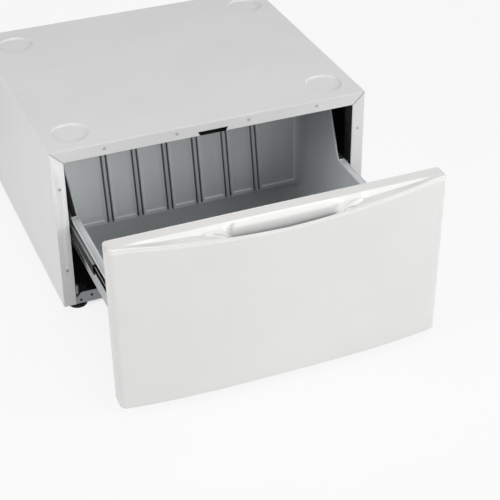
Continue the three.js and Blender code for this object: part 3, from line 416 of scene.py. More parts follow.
def deck_folds(middle, along):
    """The deck's front and rear top folds, the fold under its rail, and the rims of its wells."""
    x, y, z = np.abs(middle[:, 0]), middle[:, 1], middle[:, 2]
    top = near(z, deck_top) & (near(y, face_y) | near(y, back_y))
    under = near(z, rail_bottom) & near(y, face_y)
    margin = 0.01
    well = near(z, deck_top) & (x < half_width - margin) & (y > face_y + margin) & (y < back_y - margin)
    return ((along[:, 0] > 0.9) & (top | under)) | well


def mitred_ends(middle, along):
    """The slanting edges where the front rail meets the side flanges, on the face."""
    return (along[:, 0] > 0.5) & (along[:, 2] > 0.5) & near(middle[:, 1], face_y)


def mitre_cuts(middle, normal):
    """The slanting cut faces of the mitres, which lie in the shade of the gap between the sheets and take
    the near-black tone marked inside as painted shade.
    """
    slanting = (np.abs(normal[:, 0]) > 0.3) & (np.abs(normal[:, 2]) > 0.3)
    return slanting & (middle[:, 1] < behind_flanges)


def within_sides(middle, normal):
    """The inner faces of a side panel: those that look at the drawer, and the backs of its flanges."""
    inward = (normal[:, 0] * np.sign(middle[:, 0]) < -0.5) & (np.abs(middle[:, 0]) > half_width - 0.002)
    backs = (normal[:, 1] > 0.5) & (middle[:, 1] < behind_flanges)
    return inward | backs | mitre_cuts(middle, normal)


def under_deck(middle, normal):
    """The underside of the deck, the back of its front rail and the shelf behind the rail."""
    y, z = middle[:, 1], middle[:, 2]
    below = (normal[:, 2] < -0.5) & (z > under_wells)
    back = (normal[:, 1] > 0.5) & (y < behind_flanges)
    over_shelf, rail_face = deck_top - 0.008, face_y + 0.0004
    shelf = (z < over_shelf) & (y > rail_face) & (y < 0)
    return below | back | shelf | mitre_cuts(middle, normal)


for side in ("left", "right"):
    dressed(
        f"side_panel_{side}", f"painted_side_{side}", coated_side, "cabinet",
        bends=side_folds, mitres=mitred_ends, inside=within_sides,
    )
dressed(
    "deck", "painted_deck", coated_deck, "cabinet",
    bends=deck_folds, mitres=mitred_ends, inside=under_deck,
)

# ---------------------------------------------------------------- galvanised cabinet steel
# Posts, braces, rails, channels, foot plates and rear panel: 1.5 mm steel, hot-dip galvanised in the
# coil, so a soft grey spangle runs over it. The posts are near black instead, as painted shade of the
# cabinet's inside. The posts' buttons show through the painted flanges, in a grey that is their paint
# with painted shade of the dimples.

galvanised = Finish("galvanised_steel", {"Specular IOR Level": 0.5})
spangle = galvanised.cells(150.0, (1, 1, 0.55))
bloom = galvanised.noise(14.0, 5.0)
galvanised.colour(galvanised.mixed(
    spangle * 0.35 + bloom * 0.65, (0.20, 0.21, 0.22), (0.34, 0.35, 0.36),
))
galvanised.metallic(0.72)
galvanised.roughness(0.36 + spangle * 0.16 + bloom * 0.10)
galvanised.relief(galvanised.noise(700.0, 3.0) + spangle * 0.3, 0.00003)

button_steel = Finish("galvanised_post", {"Specular IOR Level": 0.5})
painted = button_steel.axis("Y") < face_y + 0.0011
# Painted shade: the posts' near-black tone stands for the shade inside the cabinet, and the buttons' grey,
# darker than the flanges' white, is their paint with the shade of the dimples painted in.
post_shade_tone = button_steel.mixed(button_steel.noise(14.0, 5.0), (0.02, 0.021, 0.022), (0.045, 0.046, 0.048))
button_steel.colour(button_steel.mixed(painted, post_shade_tone, (0.58, 0.58, 0.58)))
button_steel.metallic(0.72 * (1 - painted))
button_steel.roughness(0.36 + button_steel.cells(150.0, (1, 1, 0.55)) * 0.16)
button_steel.relief(button_steel.noise(700.0, 3.0), 0.00003)

sheared_edge = 0.0004
for end in ("front", "rear"):
    for side in ("left", "right"):
        dressed(f"{end}_post_{side}", f"steel_post_{end}_{side}", button_steel, "cabinet")
        dressed(
            f"foot_plate_{end}_{side}", f"steel_foot_plate_{end}_{side}", galvanised, "cabinet",
        )
    dressed(f"{end}_brace", f"steel_brace_{end}", galvanised, "cabinet", sheared_edge)
    dressed(
        f"deck_channel_{end}", f"steel_channel_{end}", galvanised, "cabinet", sheared_edge,
    )
for side in ("left", "right"):
    for kind in ("base_rail", "deck_rail"):
        dressed(
            f"{kind}_{side}", f"steel_{kind}_{side}", galvanised, "cabinet", sheared_edge,
        )
dressed("rail_stiffener", "steel_rail_stiffener", button_steel, "cabinet")
dressed("rear_panel", "steel_rear_panel", galvanised, "cabinet", sheared_edge)

# ---------------------------------------------------------------- screws of the rear panel
# Six hex-head sheet screws, bright zinc plated, hold the rear panel to the rear posts, beside the
# folded rear flanges. Each has a pressed washer face under a low chamfered hexagon.

zinc = Finish("bright_zinc", {"Specular IOR Level": 0.5})
zinc_streak = zinc.noise(260.0, 4.0)
zinc.colour(zinc.mixed(zinc_streak, (0.50, 0.51, 0.53), (0.70, 0.70, 0.71)))
zinc.metallic(0.9)
zinc.roughness(0.24 + zinc_streak * 0.16)
zinc.relief(zinc.noise(1600.0, 2.0), 0.00002)


def surface(name, points, finish, body, ends="pair", marks=None):
    """A mesh over a grid of closed rings, points[ring, place] in metres. ends closes the first and
    the last ring: pair joins place i to its opposite, and face lays one flat face over the ring.
    marks are numbers kept with the points."""
    rings, places = points.shape[:2]
    index = np.arange(rings * places).reshape(rings, places)
    here, beside = index[:-1], np.roll(index[:-1], -1, axis=1)
    above, across = index[1:], np.roll(index[1:], -1, axis=1)
    faces = np.stack([here, beside, across, above], axis=-1).reshape(-1, 4).tolist()
    first, last = index[0], index[-1]
    if ends == "pair":
        low = np.arange(places // 2 - 1)
        high = places - 1 - low
        faces += np.stack([first[low], first[high], first[high - 1], first[low + 1]], axis=-1).tolist()
        faces += np.stack([last[low], last[low + 1], last[high - 1], last[high]], axis=-1).tolist()
    if ends == "face":
        faces += [first[::-1].tolist(), last.tolist()]
    mesh = bpy.data.meshes.new(name)
    mesh.from_pydata(points.reshape(-1, 3).tolist(), [], faces)
    mesh.shade_smooth()
    for mark, numbers in (marks or {}).items():
        values = np.asarray(numbers, np.float32).ravel()
        mesh.attributes.new(mark, "FLOAT", "POINT").data.foreach_set("value", values)
    mesh.materials.append(finish.material)
    piece = bpy.data.objects.new(name, mesh)
    bpy.context.scene.collection.objects.link(piece)
    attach(piece, body)
    return piece


def hex_head(centre, across_flats, height, washer):
    """Rings of a hex head on an axis along Y: radius = washer face first, then the hexagon's
    across-flats half over cos(angle within its sixth), cut down to a circle at the chamfer."""
    angle = np.linspace(0, 2 * np.pi, 48, endpoint=False)
    sixth = (angle + np.pi / 6) % (np.pi / 3) - np.pi / 6
    flat = across_flats / 2
    hexagon = flat / np.cos(sixth)
    profile = [
        (0.0, flat * 0.5), (0.0, washer), (0.35, washer), (0.55, washer * 0.96), (0.6, hexagon),
        (height - 0.5, hexagon), (height - 0.1, np.minimum(hexagon, flat * 1.04)),
        (height, flat * 0.94), (height, flat * 0.5),
    ]
    return np.array([
        np.stack(np.broadcast_arrays(
            centre[0] + radius * np.cos(angle), centre[1] + rise, centre[2] + radius * np.sin(angle),
        ), axis=1)
        for rise, radius in profile
    ])[:, ::-1]


screw_x = 321.5                     # millimetres, as the sizes of new pieces are
screw_heights = (60, 190, 320)
panel_inset = 3.0                   # the rear panel stands that far in from the back of the flanges
screw_seat = 1000 * back_y - panel_inset
for row, screw_z in enumerate(screw_heights, 1):
    for side, sign in (("left", -1), ("right", 1)):
        head = hex_head((sign * screw_x, screw_seat, screw_z), across_flats=5.5, height=2.9, washer=3.9)
        surface(f"rear_screw_{row}_{side}", head / 1000, zinc, "cabinet", ends="face")

# ---------------------------------------------------------------- drawer front
# A painted steel skin, bowed in plan and folded round its ends and its bottom. A flat painted liner
# closes its back, and its top is open for the handle moulding.

drawer_y = 1000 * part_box("front_liner")[1][1]       # back of the front, in millimetres from here on
front_half = 1000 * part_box("front_skin")[1][0]
front_top = 1000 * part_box("handle_cap")[1][2]
front_foot = 1000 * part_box("front_skin")[0][2]
skin_sheet = 1.0
skin_back = -0.9
end_depth = 36.0
bow = 17.7
corner = 11.0
top_corner = 6.0
flare = 0.0105
scoop_tip = 306.0                  # where the scoop and the lip's dip die out on each side
lip_dip = 24.6
plain_lip = 280.0                  # from here on the top edge grows softer

white_paint = Finish("white_powder_coat", {
    "Specular IOR Level": 0.5, "Coat Weight": 0.25, "Coat Roughness": 0.12,
})
paint_tone, paint_rough = powder_coat(white_paint, (0.787, 0.782, 0.766), (0.806, 0.801, 0.784))
white_paint.colour(paint_tone)
white_paint.roughness(paint_rough)


def eased(value):
    """An S curve from 0 at 0 to 1 at 1."""
    value = np.clip(value, 0, 1)
    return value * value * (3 - 2 * value)


def crowded(marks, gaps):
    """Places from the first mark to the last, about each gap apart between one mark and the next."""
    runs = [
        np.linspace(low, high, max(2, int(math.ceil((high - low) / gap)) + 1))[:-1]
        for low, high, gap in zip(marks[:-1], marks[1:], gaps)
    ]
    return np.concatenate([*runs, marks[-1:]])


def both_ways(half_line):
    """Places from 0 outward, and their mirror images before them."""
    return np.concatenate([-half_line[:0:-1], half_line])


def placed(x, y, z):
    """Points in metres from millimetres in the drawer's own frame."""
    x, y, z = np.broadcast_arrays(x, y, z)
    return np.stack([x, y + drawer_y, z], axis=-1) / 1000


def bowed(x, inset=0.0):
    """Y of the front in plan: end depth plus a bow that falls off with the cube of the distance from
    the middle, and at each end a quarter circle."""
    half = front_half - inset
    curve = -(end_depth - inset + bow * (1 - np.minimum(np.abs(x) / half, 1) ** 3))
    past = np.maximum(np.abs(x) - (half - corner), 0)
    return curve + corner - np.sqrt(np.maximum(corner ** 2 - past ** 2, 0))


def lip_drop(x):
    """How far the lip dips below the top: most in the middle, nothing past the scoop's tips."""
    return lip_dip * np.maximum(0, 1 - (np.abs(x) / scoop_tip) ** 1.55)


def end_drop(x):
    """How far the top falls at each end: a flattened quarter circle."""
    past = np.maximum(np.abs(x) - (front_half - top_corner), 0)
    return 0.9 * (top_corner - np.sqrt(np.maximum(top_corner ** 2 - past ** 2, 0)))


def facing(x):
    """1 where the front looks forward, falling to 0 round its corners to where it looks sideways."""
    past = np.clip((np.abs(x) - (front_half - corner)) / corner, 0, 1)
    return np.sqrt(1 - past ** 2)


def lip_radius(x):
    """Radius of the top front edge: fine along the lip, and softer towards the ends."""
    return (1.2 + 1.6 * eased((np.abs(x) - plain_lip) / 40)) * facing(x)


def flared(x, z):
    """X of the front at height z: it grows evenly by about 1 per cent from its foot to its top."""
    return x * (1 + flare * (z - front_foot) / (front_top - front_foot))


def across_front(half):
    """Places across the front, crowded at its rounded ends."""
    return both_ways(crowded([0, plain_lip, half - corner, half - 1.2, half], [4.0, 3.5, 0.6, 0.12]))


def wall_line(inset):
    """The front's wall in plan, drawn in by inset: from its left rear edge forward, across the bow,
    and back to its right rear edge."""
    half = front_half - inset
    x = across_front(half)
    line = np.stack([x, bowed(x, inset)], axis=1)
    steps = np.linspace(0, 1, 8)[:-1, None]
    left_rear, right_rear = np.array([[-half, skin_back], [half, skin_back]])
    return np.concatenate([
        left_rear * (1 - steps) + line[0] * steps, line,
        (line[-1] * (1 - steps) + right_rear * steps)[1:], [right_rear],
    ])


outer_wall, inner_wall = wall_line(0.0), wall_line(skin_sheet)
straight_height = 300.0
hem = [(0.0, 1.4), (0.1, 0.9), (0.45, 0.4), (0.9, 0.12)]    # height, and how far the foot turns in
skin_rings = []
for rise, inset in hem + [(rise, 0.0) for rise in (1.5, 6.0, 60.0, 150.0, 240.0, straight_height)]:
    outer_now = outer_wall.copy()
    outer_now[:, 0] *= 1 - inset / front_half
    outer_now[:, 1] = np.minimum(outer_now[:, 1] + inset, skin_back)
    ring = np.concatenate([outer_now, inner_wall[::-1]])
    skin_rings.append(placed(flared(ring[:, 0], front_foot + rise), ring[:, 1], front_foot + rise))
ring = np.concatenate([outer_wall, inner_wall[::-1]])
outer_x = np.concatenate([outer_wall[:, 0], outer_wall[::-1, 0]])
rim = front_top - lip_drop(ring[:, 0]) - end_drop(outer_x) - lip_radius(outer_x) - 0.5
for share in np.linspace(0.2, 1, 6):
    level = (front_foot + straight_height) * (1 - share) + rim * share
    skin_rings.append(placed(flared(ring[:, 0], level), ring[:, 1], level))
skin = surface("front_skin_bowed", np.array(skin_rings)[:, ::-1], white_paint, "drawer")
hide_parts("front_skin")

plate_gap = 1.2                     # the flat bottom stands this far inside the skin's outside
plate_x = across_front(front_half)[2:-2]
plate_front = bowed(plate_x) + plate_gap
plate_x = plate_x * (1 - plate_gap / front_half)


def plate_ring(level, inset):
    """The outline of the flat bottom at a level over the foot, its long edges drawn in by inset."""
    rear = np.full_like(plate_x, -1.4 - inset)
    return placed(
        np.concatenate([plate_x, plate_x[::-1]]), np.concatenate([plate_front + inset, rear]),
        front_foot + level,
    )


bottom_rings = np.array([
    plate_ring(0.0, 5.4), plate_ring(0.0, 0.4), plate_ring(0.15, 0.0), plate_ring(1.0, 0.0),
    plate_ring(1.0, 5.4),
])
bottom_fold = surface("front_skin_bottom", bottom_rings, white_paint, "drawer")
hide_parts("front_skin")
dressed("front_liner", "painted_liner", white_paint, "drawer")

# ---------------------------------------------------------------- handle moulding
# One injection moulding of glossy white plastic. Behind its lip a long scoop runs almost from end to
# end: a shallow valley with a crease at each side, and a deep finger pocket in the middle.

white_moulding = Finish("white_gloss_moulding", {
    "Specular IOR Level": 0.5, "Coat Weight": 0.15, "Coat Roughness": 0.08,
})
moulding_tone = white_moulding.mixed(
    white_moulding.noise(9.0, 3.0).between(0.3, 0.7), (0.797, 0.792, 0.779), (0.812, 0.807, 0.793),
)
# Painted highlight and painted shade: the mesh's two marks lighten the white where light falls on the scoop
# and the lip, and darken it where shade and dark reflections fall in the scoop.
moulding_tone = white_moulding.mixed(white_moulding.mark("painted_highlight"), moulding_tone, (0.962, 0.957, 0.943))
white_moulding.colour(white_moulding.mixed(
    white_moulding.mark("hollow"), moulding_tone, (0.28, 0.282, 0.29),
))
white_moulding.roughness(0.18 + white_moulding.noise(80.0, 4.0) * 0.08)
white_moulding.relief(white_moulding.noise(500.0, 3.0), 0.00002)

strip = 26.0                       # flat strip behind the scoop
lip_width = 4.6
lip_round = 0.8
back_round = 1.4
cap_wall = 3.0
crease = 0.37                      # share of the way from the strip to the lip
crease_round = 0.015
valley_fade = 163.0                # the valleys grow to full depth over this length
pocket_depth = 23.0
pocket_flat, pocket_end = 92.0, 34.0    # half its flat length, and how long each end wall is
ridge = 150.0                      # between valley and pocket, at the strip


def bump(value, centre, width):
    """A bell that is 1 at the centre and falls to about a third at one width from it."""
    return np.exp(-((value - centre) / width) ** 2)


def ridge_at(t):
    """Where the ridge between valley and pocket stands, nearer the middle towards the lip."""
    return ridge - 34 * eased((t - 0.42) / 0.58)


def scoop(x, t):
    """Depth of the scoop below the straight line from the strip to the lip, at share t of the way.
    End valleys: a V, 1 less the distance from its crease, that dies out at the tips and the ridge.
    Pocket: an elliptic bowl, 1 less an S curve of the distance from its middle, with a steep heel."""
    span = np.abs(x)
    away = np.maximum((crease - t) / crease, (t - crease) / (1 - crease))
    top = math.sqrt(1 + crease_round)
    valley = (top - np.sqrt(away ** 2 + crease_round)) / (top - math.sqrt(crease_round))
    fade = np.clip((scoop_tip - span) / valley_fade, 0, 1) ** 0.7
    past = span - ridge_at(t)
    hollow = 4.4 * fade * eased(past / 15) + 1.6 * bump(past, 14, 9)
    end = np.clip((span - pocket_flat) / pocket_end, 0, None)
    rear = np.clip((0.5 - t) / 0.5, 0, None)
    heel = np.clip((t - 0.70) / 0.62, 0, None)
    bowl = pocket_depth * (1 - eased(np.sqrt(end ** 2 + rear ** 2 + heel ** 2)))
    return hollow * valley * (span < scoop_tip) + bowl


def painted_shade_share(x, t):
    """Share of painted shade and painted dark reflection: down the back of the pocket, in crescents on its
    end walls, along the front slope of each valley, and in a wedge beside the lip where valley meets ridge."""
    span = np.abs(x)
    past = span - ridge_at(t)
    right = x > 0
    down = np.clip((t - 0.16) / 0.28, 0, 1) ** 1.6 * (1 - 0.45 * eased((t - 0.5) / 0.3))
    pocket = 0.92 * (1 - eased((span - np.where(right, 88, 98)) / 26)) * down
    upper = bump(span, 121 + 20 * np.clip((0.62 - t) / 0.2, 0, 1), 3.2) * bump(t, 0.52, 0.12)
    lower = bump(t, 0.84, 0.05) * (1 - eased((span - 133) / 10)) * eased((span - 99) / 14)
    left_curve = bump(span, 104 - 150 * (t - 0.3) ** 2, 4.0) * eased((t - 0.06) / 0.1) * (t < 0.62)
    crescents = np.where(right, 0.5 * upper + 0.45 * lower, 0.42 * left_curve)
    wedge_start = np.where(right, 176, 138)
    wedge = bump(t, 0.65 + 0.22 * np.clip((wedge_start - span) / 24, 0, 1), 0.07)
    wedge *= eased((wedge_start + 10 - span) / 14) * eased((span - wedge_start + 36) / 14)
    slope = eased((t - crease + 0.03) / 0.08) * (1 - eased((t - 0.95) / 0.05))
    fade = np.clip((scoop_tip - span) / 40, 0, 1) * eased((past - 2) / 10)
    return np.clip(np.maximum(pocket, crescents) + np.maximum(0.30 * slope * fade, 0.45 * wedge), 0, 0.92)


def painted_highlight_share(x, t):
    """Share of painted highlight: the back slopes of the valleys and of the pocket, and the pocket's right
    end wall."""
    span = np.abs(x)
    in_pocket = 1 - eased((span - 98) / 30)
    foot = 0.33 - 0.14 * in_pocket
    share = eased((t - 0.01) / 0.03) * (1 - eased((t - foot) / 0.06)) * eased((scoop_tip - span) / 30)
    end_wall = 0.35 * bump(span, 108, 12.0) * eased((t - 0.3) / 0.1) * (1 - eased((t - 0.78) / 0.1))
    return np.maximum(share * (0.55 + 0.45 * in_pocket), np.where(x > 0, end_wall, 0))


cap_x = both_ways(crowded(
    [0, 84, 110, 134, 160, 240, 285, scoop_tip + 3, front_half - corner, front_half - 1.2, front_half],
    [6.0, 2.2, 1.1, 1.1, 4.0, 2.5, 1.5, 4.0, 0.6, 0.12],
))[:, None]
cap_front = bowed(cap_x)
cap_drop = lip_drop(cap_x)
cap_top = front_top - end_drop(cap_x)
lip_back = cap_front + lip_width
lip_top = cap_top - cap_drop
front_round = np.maximum(lip_radius(cap_x), 0.05)

# Stretches of the upper side from the back to the front face, each as Y and Z. The crisp edge
# between strip and scoop is drawn by the first places of the scoop, close together.
turn = np.linspace(0, np.pi / 2, 5)[None, :]
front_turn = np.linspace(0, np.pi / 2, 8)[None, :]
steps = crowded([0, 0.04, 0.29, 0.45, 0.94, 1.0], [0.02, 0.035, 0.02, 0.035, 0.02])[None, :]
scoop_z = cap_top - cap_drop * steps - scoop(cap_x, steps)
heel = scoop_z[:, -1:]
stretches = {
    "back": (0, cap_top - 2.6),
    "back edge": (-back_round * (1 - np.cos(turn)), cap_top - back_round * (1 - np.sin(turn))),
    "strip": (-np.array([[4.0, 12.0, 20.0, 24.5, 25.3]]), cap_top - np.array([[0, 0, 0, 0, 0.04]])),
    "scoop": (-strip + (lip_back + strip) * steps, scoop_z),
    "rise": (lip_back, heel + (lip_top - 0.7 - heel) * np.array([[0.3, 0.6, 0.85]])),
    "lip edge": (lip_back - lip_round * (1 - np.cos(turn)), lip_top - lip_round * (1 - np.sin(turn))),
    "lip": (lip_back - lip_round - (lip_width - lip_round - front_round) * np.array([[0.35, 0.7]]), lip_top),
    "front edge": (
        cap_front + front_round * (1 - np.sin(front_turn)), lip_top - front_round * (1 - np.cos(front_turn)),
    ),
    "front": (cap_front, lip_top - front_round - 0.4),
}
filled = [np.broadcast_arrays(y + 0 * cap_x, z) for y, z in stretches.values()]
upper_y, upper_z = np.concatenate(filled, axis=2)
counts = [y.shape[1] for y, z in filled]
first_of = dict(zip(stretches, np.cumsum([0] + counts)))

# The underside runs a wall's thickness below, and draws in under the lip so that it stays inside.
rise_first, back_count = first_of["rise"], first_of["strip"]
rise_count = sum(counts) - rise_first
wall_share = np.zeros(sum(counts))
wall_share[rise_first:] = np.clip(np.linspace(0.4, 3.0, rise_count), 0, 1)
lower_y = np.maximum(upper_y - 2.4 * wall_share[None, :], np.minimum(cap_front + 1.3, upper_y + 1.3))
lower_z = upper_z - cap_wall
lower_z[:, rise_first:] = np.minimum(
    lower_z[:, rise_first:], lip_top - cap_wall - 0.02 * np.arange(rise_count)[None, :],
)
lower_z[:, :back_count] = cap_top - cap_wall + 0.02 * np.arange(back_count)[None, :] - 0.1
lower_z = np.minimum(lower_z, upper_z - 0.1)
upper = placed(flared(cap_x, upper_z), upper_y, upper_z)
lower = placed(flared(cap_x * (1 - 0.6 / front_half), lower_z), np.minimum(lower_y, -0.02), lower_z)
cap_rings = np.concatenate([upper, lower[:, ::-1]], axis=1)

# Painted shade and painted highlights on the scoop, and a painted highlight along the lip towards its ends.
handle_painted_shade, handle_painted_highlight = np.zeros(cap_rings.shape[:2]), np.zeros(cap_rings.shape[:2])
in_scoop = slice(first_of["scoop"], rise_first)
handle_painted_shade[:, in_scoop] = painted_shade_share(cap_x, steps)
handle_painted_shade[:, rise_first:first_of["lip edge"]] = painted_shade_share(cap_x, 1.0)
handle_painted_highlight[:, in_scoop] = painted_highlight_share(cap_x, steps)
on_lip = slice(first_of["lip edge"], first_of["front edge"] + front_turn.size // 2)
handle_painted_highlight[:, on_lip] = 0.6 * eased((np.abs(cap_x) - 120) / 80)
handle = surface(
    "handle_moulding", cap_rings, white_moulding, "drawer",
    marks={"hollow": handle_painted_shade, "painted_highlight": handle_painted_highlight},
)
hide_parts("handle_cap")

# ---------------------------------------------------------------- bin
# One deep injection-moulded tub of silver-grey plastic that hangs by its rim from the side rails.
# Its high rear wall leans back under the deck, with pairs of pressed grooves between sunk panels.

grey_plastic = Finish("silver_grey_plastic", {"Specular IOR Level": 0.45})
flow = grey_plastic.noise(6.0, 3.0, (1, 1, 0.25))
grain = grey_plastic.noise(1500.0, 2.0)
streaks = grey_plastic.noise(34.0, 4.0, (1, 1, 0.05))
flowing = flow.between(0.25, 0.75) * 0.5 + streaks.between(0.3, 0.7) * 0.5
grey_tone = grey_plastic.mixed(flowing, (0.548, 0.570, 0.580), (0.603, 0.625, 0.635))
# Painted light and shade: the mesh's two marks lighten the grey with painted highlights and light, and
# darken it with painted shade.
with_painted_light = grey_plastic.mixed(grey_plastic.mark("painted_light"), grey_tone, (0.96, 0.975, 0.98))
grey_plastic.colour(grey_plastic.mixed(grey_plastic.mark("painted_shade"), with_painted_light, (0.06, 0.065, 0.07)))
grey_plastic.roughness(0.40 + grain * 0.08 + flow * 0.06)
grey_plastic.relief(grain + grey_plastic.noise(260.0, 2.0) * 0.4, 0.00004)

bin_floor = 70.0
bin_front = 7.0
bin_rim = 1000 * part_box("bin")[1][2]            # top of the high rear wall
rim_level = 218.0
rim_half, rim_front = 308.2, 4.0   # where the rim's flange ends at the sides and in front
rim_inside = 291.7                 # half the inner width at the low rim's level
taper = 9.7                        # by how much it is less at the floor
back_at_floor = 525.4
rear_lean = 0.169
ledge = 77.6                       # height of the ledge under the rear panels
corner_radius = 16.0
ramp_start = 346.4
ramp_slope = 1 / 0.61
ramp_end = ramp_start + (bin_rim - rim_level) / ramp_slope
side_end = 431.0                   # from here on the places on the sides follow the leaning rear wall
pair_spacing = 70.2
groove_offset = 5.5                # from the middle of a pair of grooves
wall = 3.0
brim_round, flange_round = 1.4, 1.0     # where the brim turns out of the wall, and down at its edge


def bin_half(z):
    """Half the inner width, which grows evenly with height."""
    return rim_inside - taper * (rim_level - z) / (rim_level - bin_floor)


def bin_back(z):
    """Y of the leaning rear wall's inner face."""
    return back_at_floor + rear_lean * (z - bin_floor)


def soft_ramp(value, reach):
    """max(value, 0) with its corner rounded by a parabola of that reach."""
    curve = (value + reach) ** 2 / (4 * reach)
    return np.where(value < -reach, 0, np.where(value > reach, value, curve))


def brim_level(y):
    """Height of the brim: low, then a straight climb with rounded ends, then high."""
    return rim_level + ramp_slope * (soft_ramp(y - ramp_start, 5.0) - soft_ramp(y - ramp_end, 3.0))


# Each place round the bin is x = a half + b, y = c back + d, so it follows both leaning walls.
quarter = np.linspace(0, np.pi / 2, 11)[1:-1]
sideways = crowded(
    [bin_front + corner_radius, 330, 341, 344.6, 346.8, 352, 411, 423, side_end],
    [14.0, 3.0, 1.2, 0.3, 0.8, 3.0, 1.0, 2.5],
)
deeper = np.linspace(0, 1, 12)[1:]
pair_centres = (np.arange(6) - 2.5) * pair_spacing
groove_places = both_ways(np.array([0.0, 1.4, 1.8, 2.1, 2.4, 2.9]))
ledge_places = np.array([10, 11.6, 12.6, 13.6, 14.6, 15.6, 16.6, 18])
rear_x = np.sort(np.concatenate([
    (pair_centres[:, None] + np.concatenate([-ledge_places, ledge_places])).ravel(),
    (pair_centres[:, None] - groove_offset + groove_places).ravel(),
    (pair_centres[:, None] + groove_offset + groove_places).ravel(),
    (pair_centres[:-1, None] + pair_spacing / 2 + np.array([-9, 0, 9])).ravel(),
]))
last = rear_x[-1]
beyond = np.concatenate([np.linspace(0, 0.8, 7)[1:], np.linspace(0.8, 1, 12)[1:]])


def stations(a, b, c, d, out_x, out_y):
    """Columns of places round the bin, with the outward direction at each."""
    columns = np.broadcast_arrays(*(np.asarray(v, float) for v in (a, b, c, d, out_x, out_y)))
    return np.stack(columns, axis=1)


right_side = np.concatenate([
    stations(1, 0, 0, sideways, 1, 0),
    stations(1, 0, deeper, side_end - deeper * (side_end + corner_radius), 1, 0),
])
cosine, sine = np.cos(quarter), np.sin(quarter)
rear_right = stations(1, -corner_radius * (1 - cosine), 1, -corner_radius * (1 - sine), cosine, sine)
rear_outer = stations(beyond[::-1], last - beyond[::-1] * (last + corner_radius), 1, 0, 0, 1)
rear = stations(0, rear_x[::-1], 1, 0, 0, 1)
front_right = stations(
    1, -corner_radius * (1 - sine), 0, bin_front + corner_radius * (1 - cosine), sine, -cosine,
)
front_run = np.linspace(-1, 1, 33)
front_wall = stations(front_run, -front_run * corner_radius, 0, bin_front, 0, -1)


def mirrored(columns):
    """The same places on the left, in reverse order, so that the ring goes on round."""
    flipped = columns[::-1].copy()
    flipped[:, [0, 1, 4]] *= -1
    return flipped


ring = np.concatenate([
    front_wall, front_right, right_side, rear_right, rear_outer, rear, mirrored(rear_outer),
    mirrored(rear_right), mirrored(right_side), mirrored(front_right),
])
ring_a, ring_b, ring_c, ring_d, out_x, out_y = ring.T


def inner_at(z):
    """X and Y of the inner wall at height z, one height for each place round the bin."""
    return ring_a * bin_half(z) + ring_b, ring_c * bin_back(z) + ring_d


# The brim's line, its tilt along the climb, and the width of its flange at each place: narrow along
# the climb, and in front out to a rounded rectangle, by the fifth powers of the two distances.
rear_share = np.where(ring_c > 0, np.clip(out_y, 0, 1), 0)
on_side = (np.abs(out_x) > 0.999) & (ring_c == 0)
line_z = np.where(ring_c > 0, bin_rim, np.where(on_side, brim_level(ring_d), rim_level))
climb = np.where(on_side, (brim_level(ring_d + 0.05) - brim_level(ring_d - 0.05)) / 0.1, 0.0)
tilt_y, tilt_z = -climb / np.hypot(1, climb), 1 / np.hypot(1, climb)
line_x, line_y = inner_at(line_z)
side_flange = 3.3 + 13.2 * (1 - eased((ring_d - 344.9) / 1.4)) + 5.7 * eased((ring_d - ramp_end + 2) / 8)
far = 1e3
with np.errstate(divide="ignore"):
    to_side = np.where(np.abs(out_x) > 0.05, (rim_half - np.abs(line_x)) / np.abs(out_x), far)
    to_front = np.where(out_y < -0.05, (line_y - rim_front) / -out_y, far)
front_flange = (to_side ** -5.0 + to_front ** -5.0) ** -0.2
flange = np.where(ring_c > 0, 9 + 3 * rear_share, np.where(on_side, side_flange, front_flange))
wall_out = wall + 3 * rear_share


def brim_ring(outward, height):
    """A ring of the brim: outward from the inner wall, and height over the brim's own line."""
    return np.stack([
        line_x + outward * out_x,
        line_y + outward * out_y + height * tilt_y,
        line_z + height * tilt_z,
    ], axis=1)


def rear_pattern(x):
    """Across the rear wall: 1 in the grooves and 0 beside them, and 1 on the panels between the
    groove pairs, falling to 0 at each pair."""
    groove = np.zeros_like(x)
    panel = np.ones_like(x)
    for centre in pair_centres:
        away = np.abs(x - centre)
        groove = np.maximum(groove, 1 - eased((np.abs(away - groove_offset) - 1.5) / 0.9))
        panel = np.minimum(panel, eased((away - 8.2) / 8.5))
    return groove, panel


def pressed(x, z):
    """Depth pressed back into the rear wall. Grooves: flat-bottomed with near-square sides. Panels:
    pillow-sided, between the groove pairs, down to a ledge just over the floor."""
    groove, panel = rear_pattern(x)
    panel *= eased((bin_half(z) - 11.0 - np.abs(x)) / 2.6) * eased((z - ledge + 1.2) / 2.4)
    groove *= eased((z - bin_floor - 0.4) / 1.4)
    top = 1 - eased((z - (bin_rim - 12)) / 4)
    sunk = 1.3 + 1.3 * np.exp(-np.maximum(z - ledge, 0) / 20) + eased((np.abs(x) - 230) / 40)
    return np.maximum(4.7 * groove, sunk * panel) * top


def rear_marks(x, z):
    """Painted highlights on the rear wall's ledge and on the last panels' ends, painted light towards its
    left, and painted shade in the grooves, between the grooves of a pair, in the upright corners and
    towards its right."""
    groove, panel = rear_pattern(x)
    low = bump(z, ledge + 0.2, 1.3) * panel * eased((bin_half(z) - 11.5 - np.abs(x)) / 2)
    end = bump(np.abs(x), bin_half(z) - 12.3, 1.4) * eased((z - ledge) / 3)
    end *= 1 - eased((z - (bin_rim - 14)) / 6)
    painted_light_left = 0.5 * np.clip((-x - 20) / 260, 0, 1) * eased((z - ledge) / 12)
    painted_light = np.maximum(np.maximum(low, 0.6 * end), painted_light_left)
    between = np.min([np.abs(x - centre) for centre in pair_centres], axis=0)
    above = eased((z - bin_floor - 0.4) / 1.4)
    painted_shade = np.maximum(0.85 * groove, 0.24 * (1 - eased((between - groove_offset) / 6.0))) * above
    corner_shade = 0.2 * eased((np.abs(x) - bin_half(z) + 11.0) / 2.5)
    painted_shade_right = 0.16 * np.clip((x + 40) / 200, 0, 1) * (1 - low)
    return painted_light, np.maximum(painted_shade, np.maximum(corner_shade, painted_shade_right))


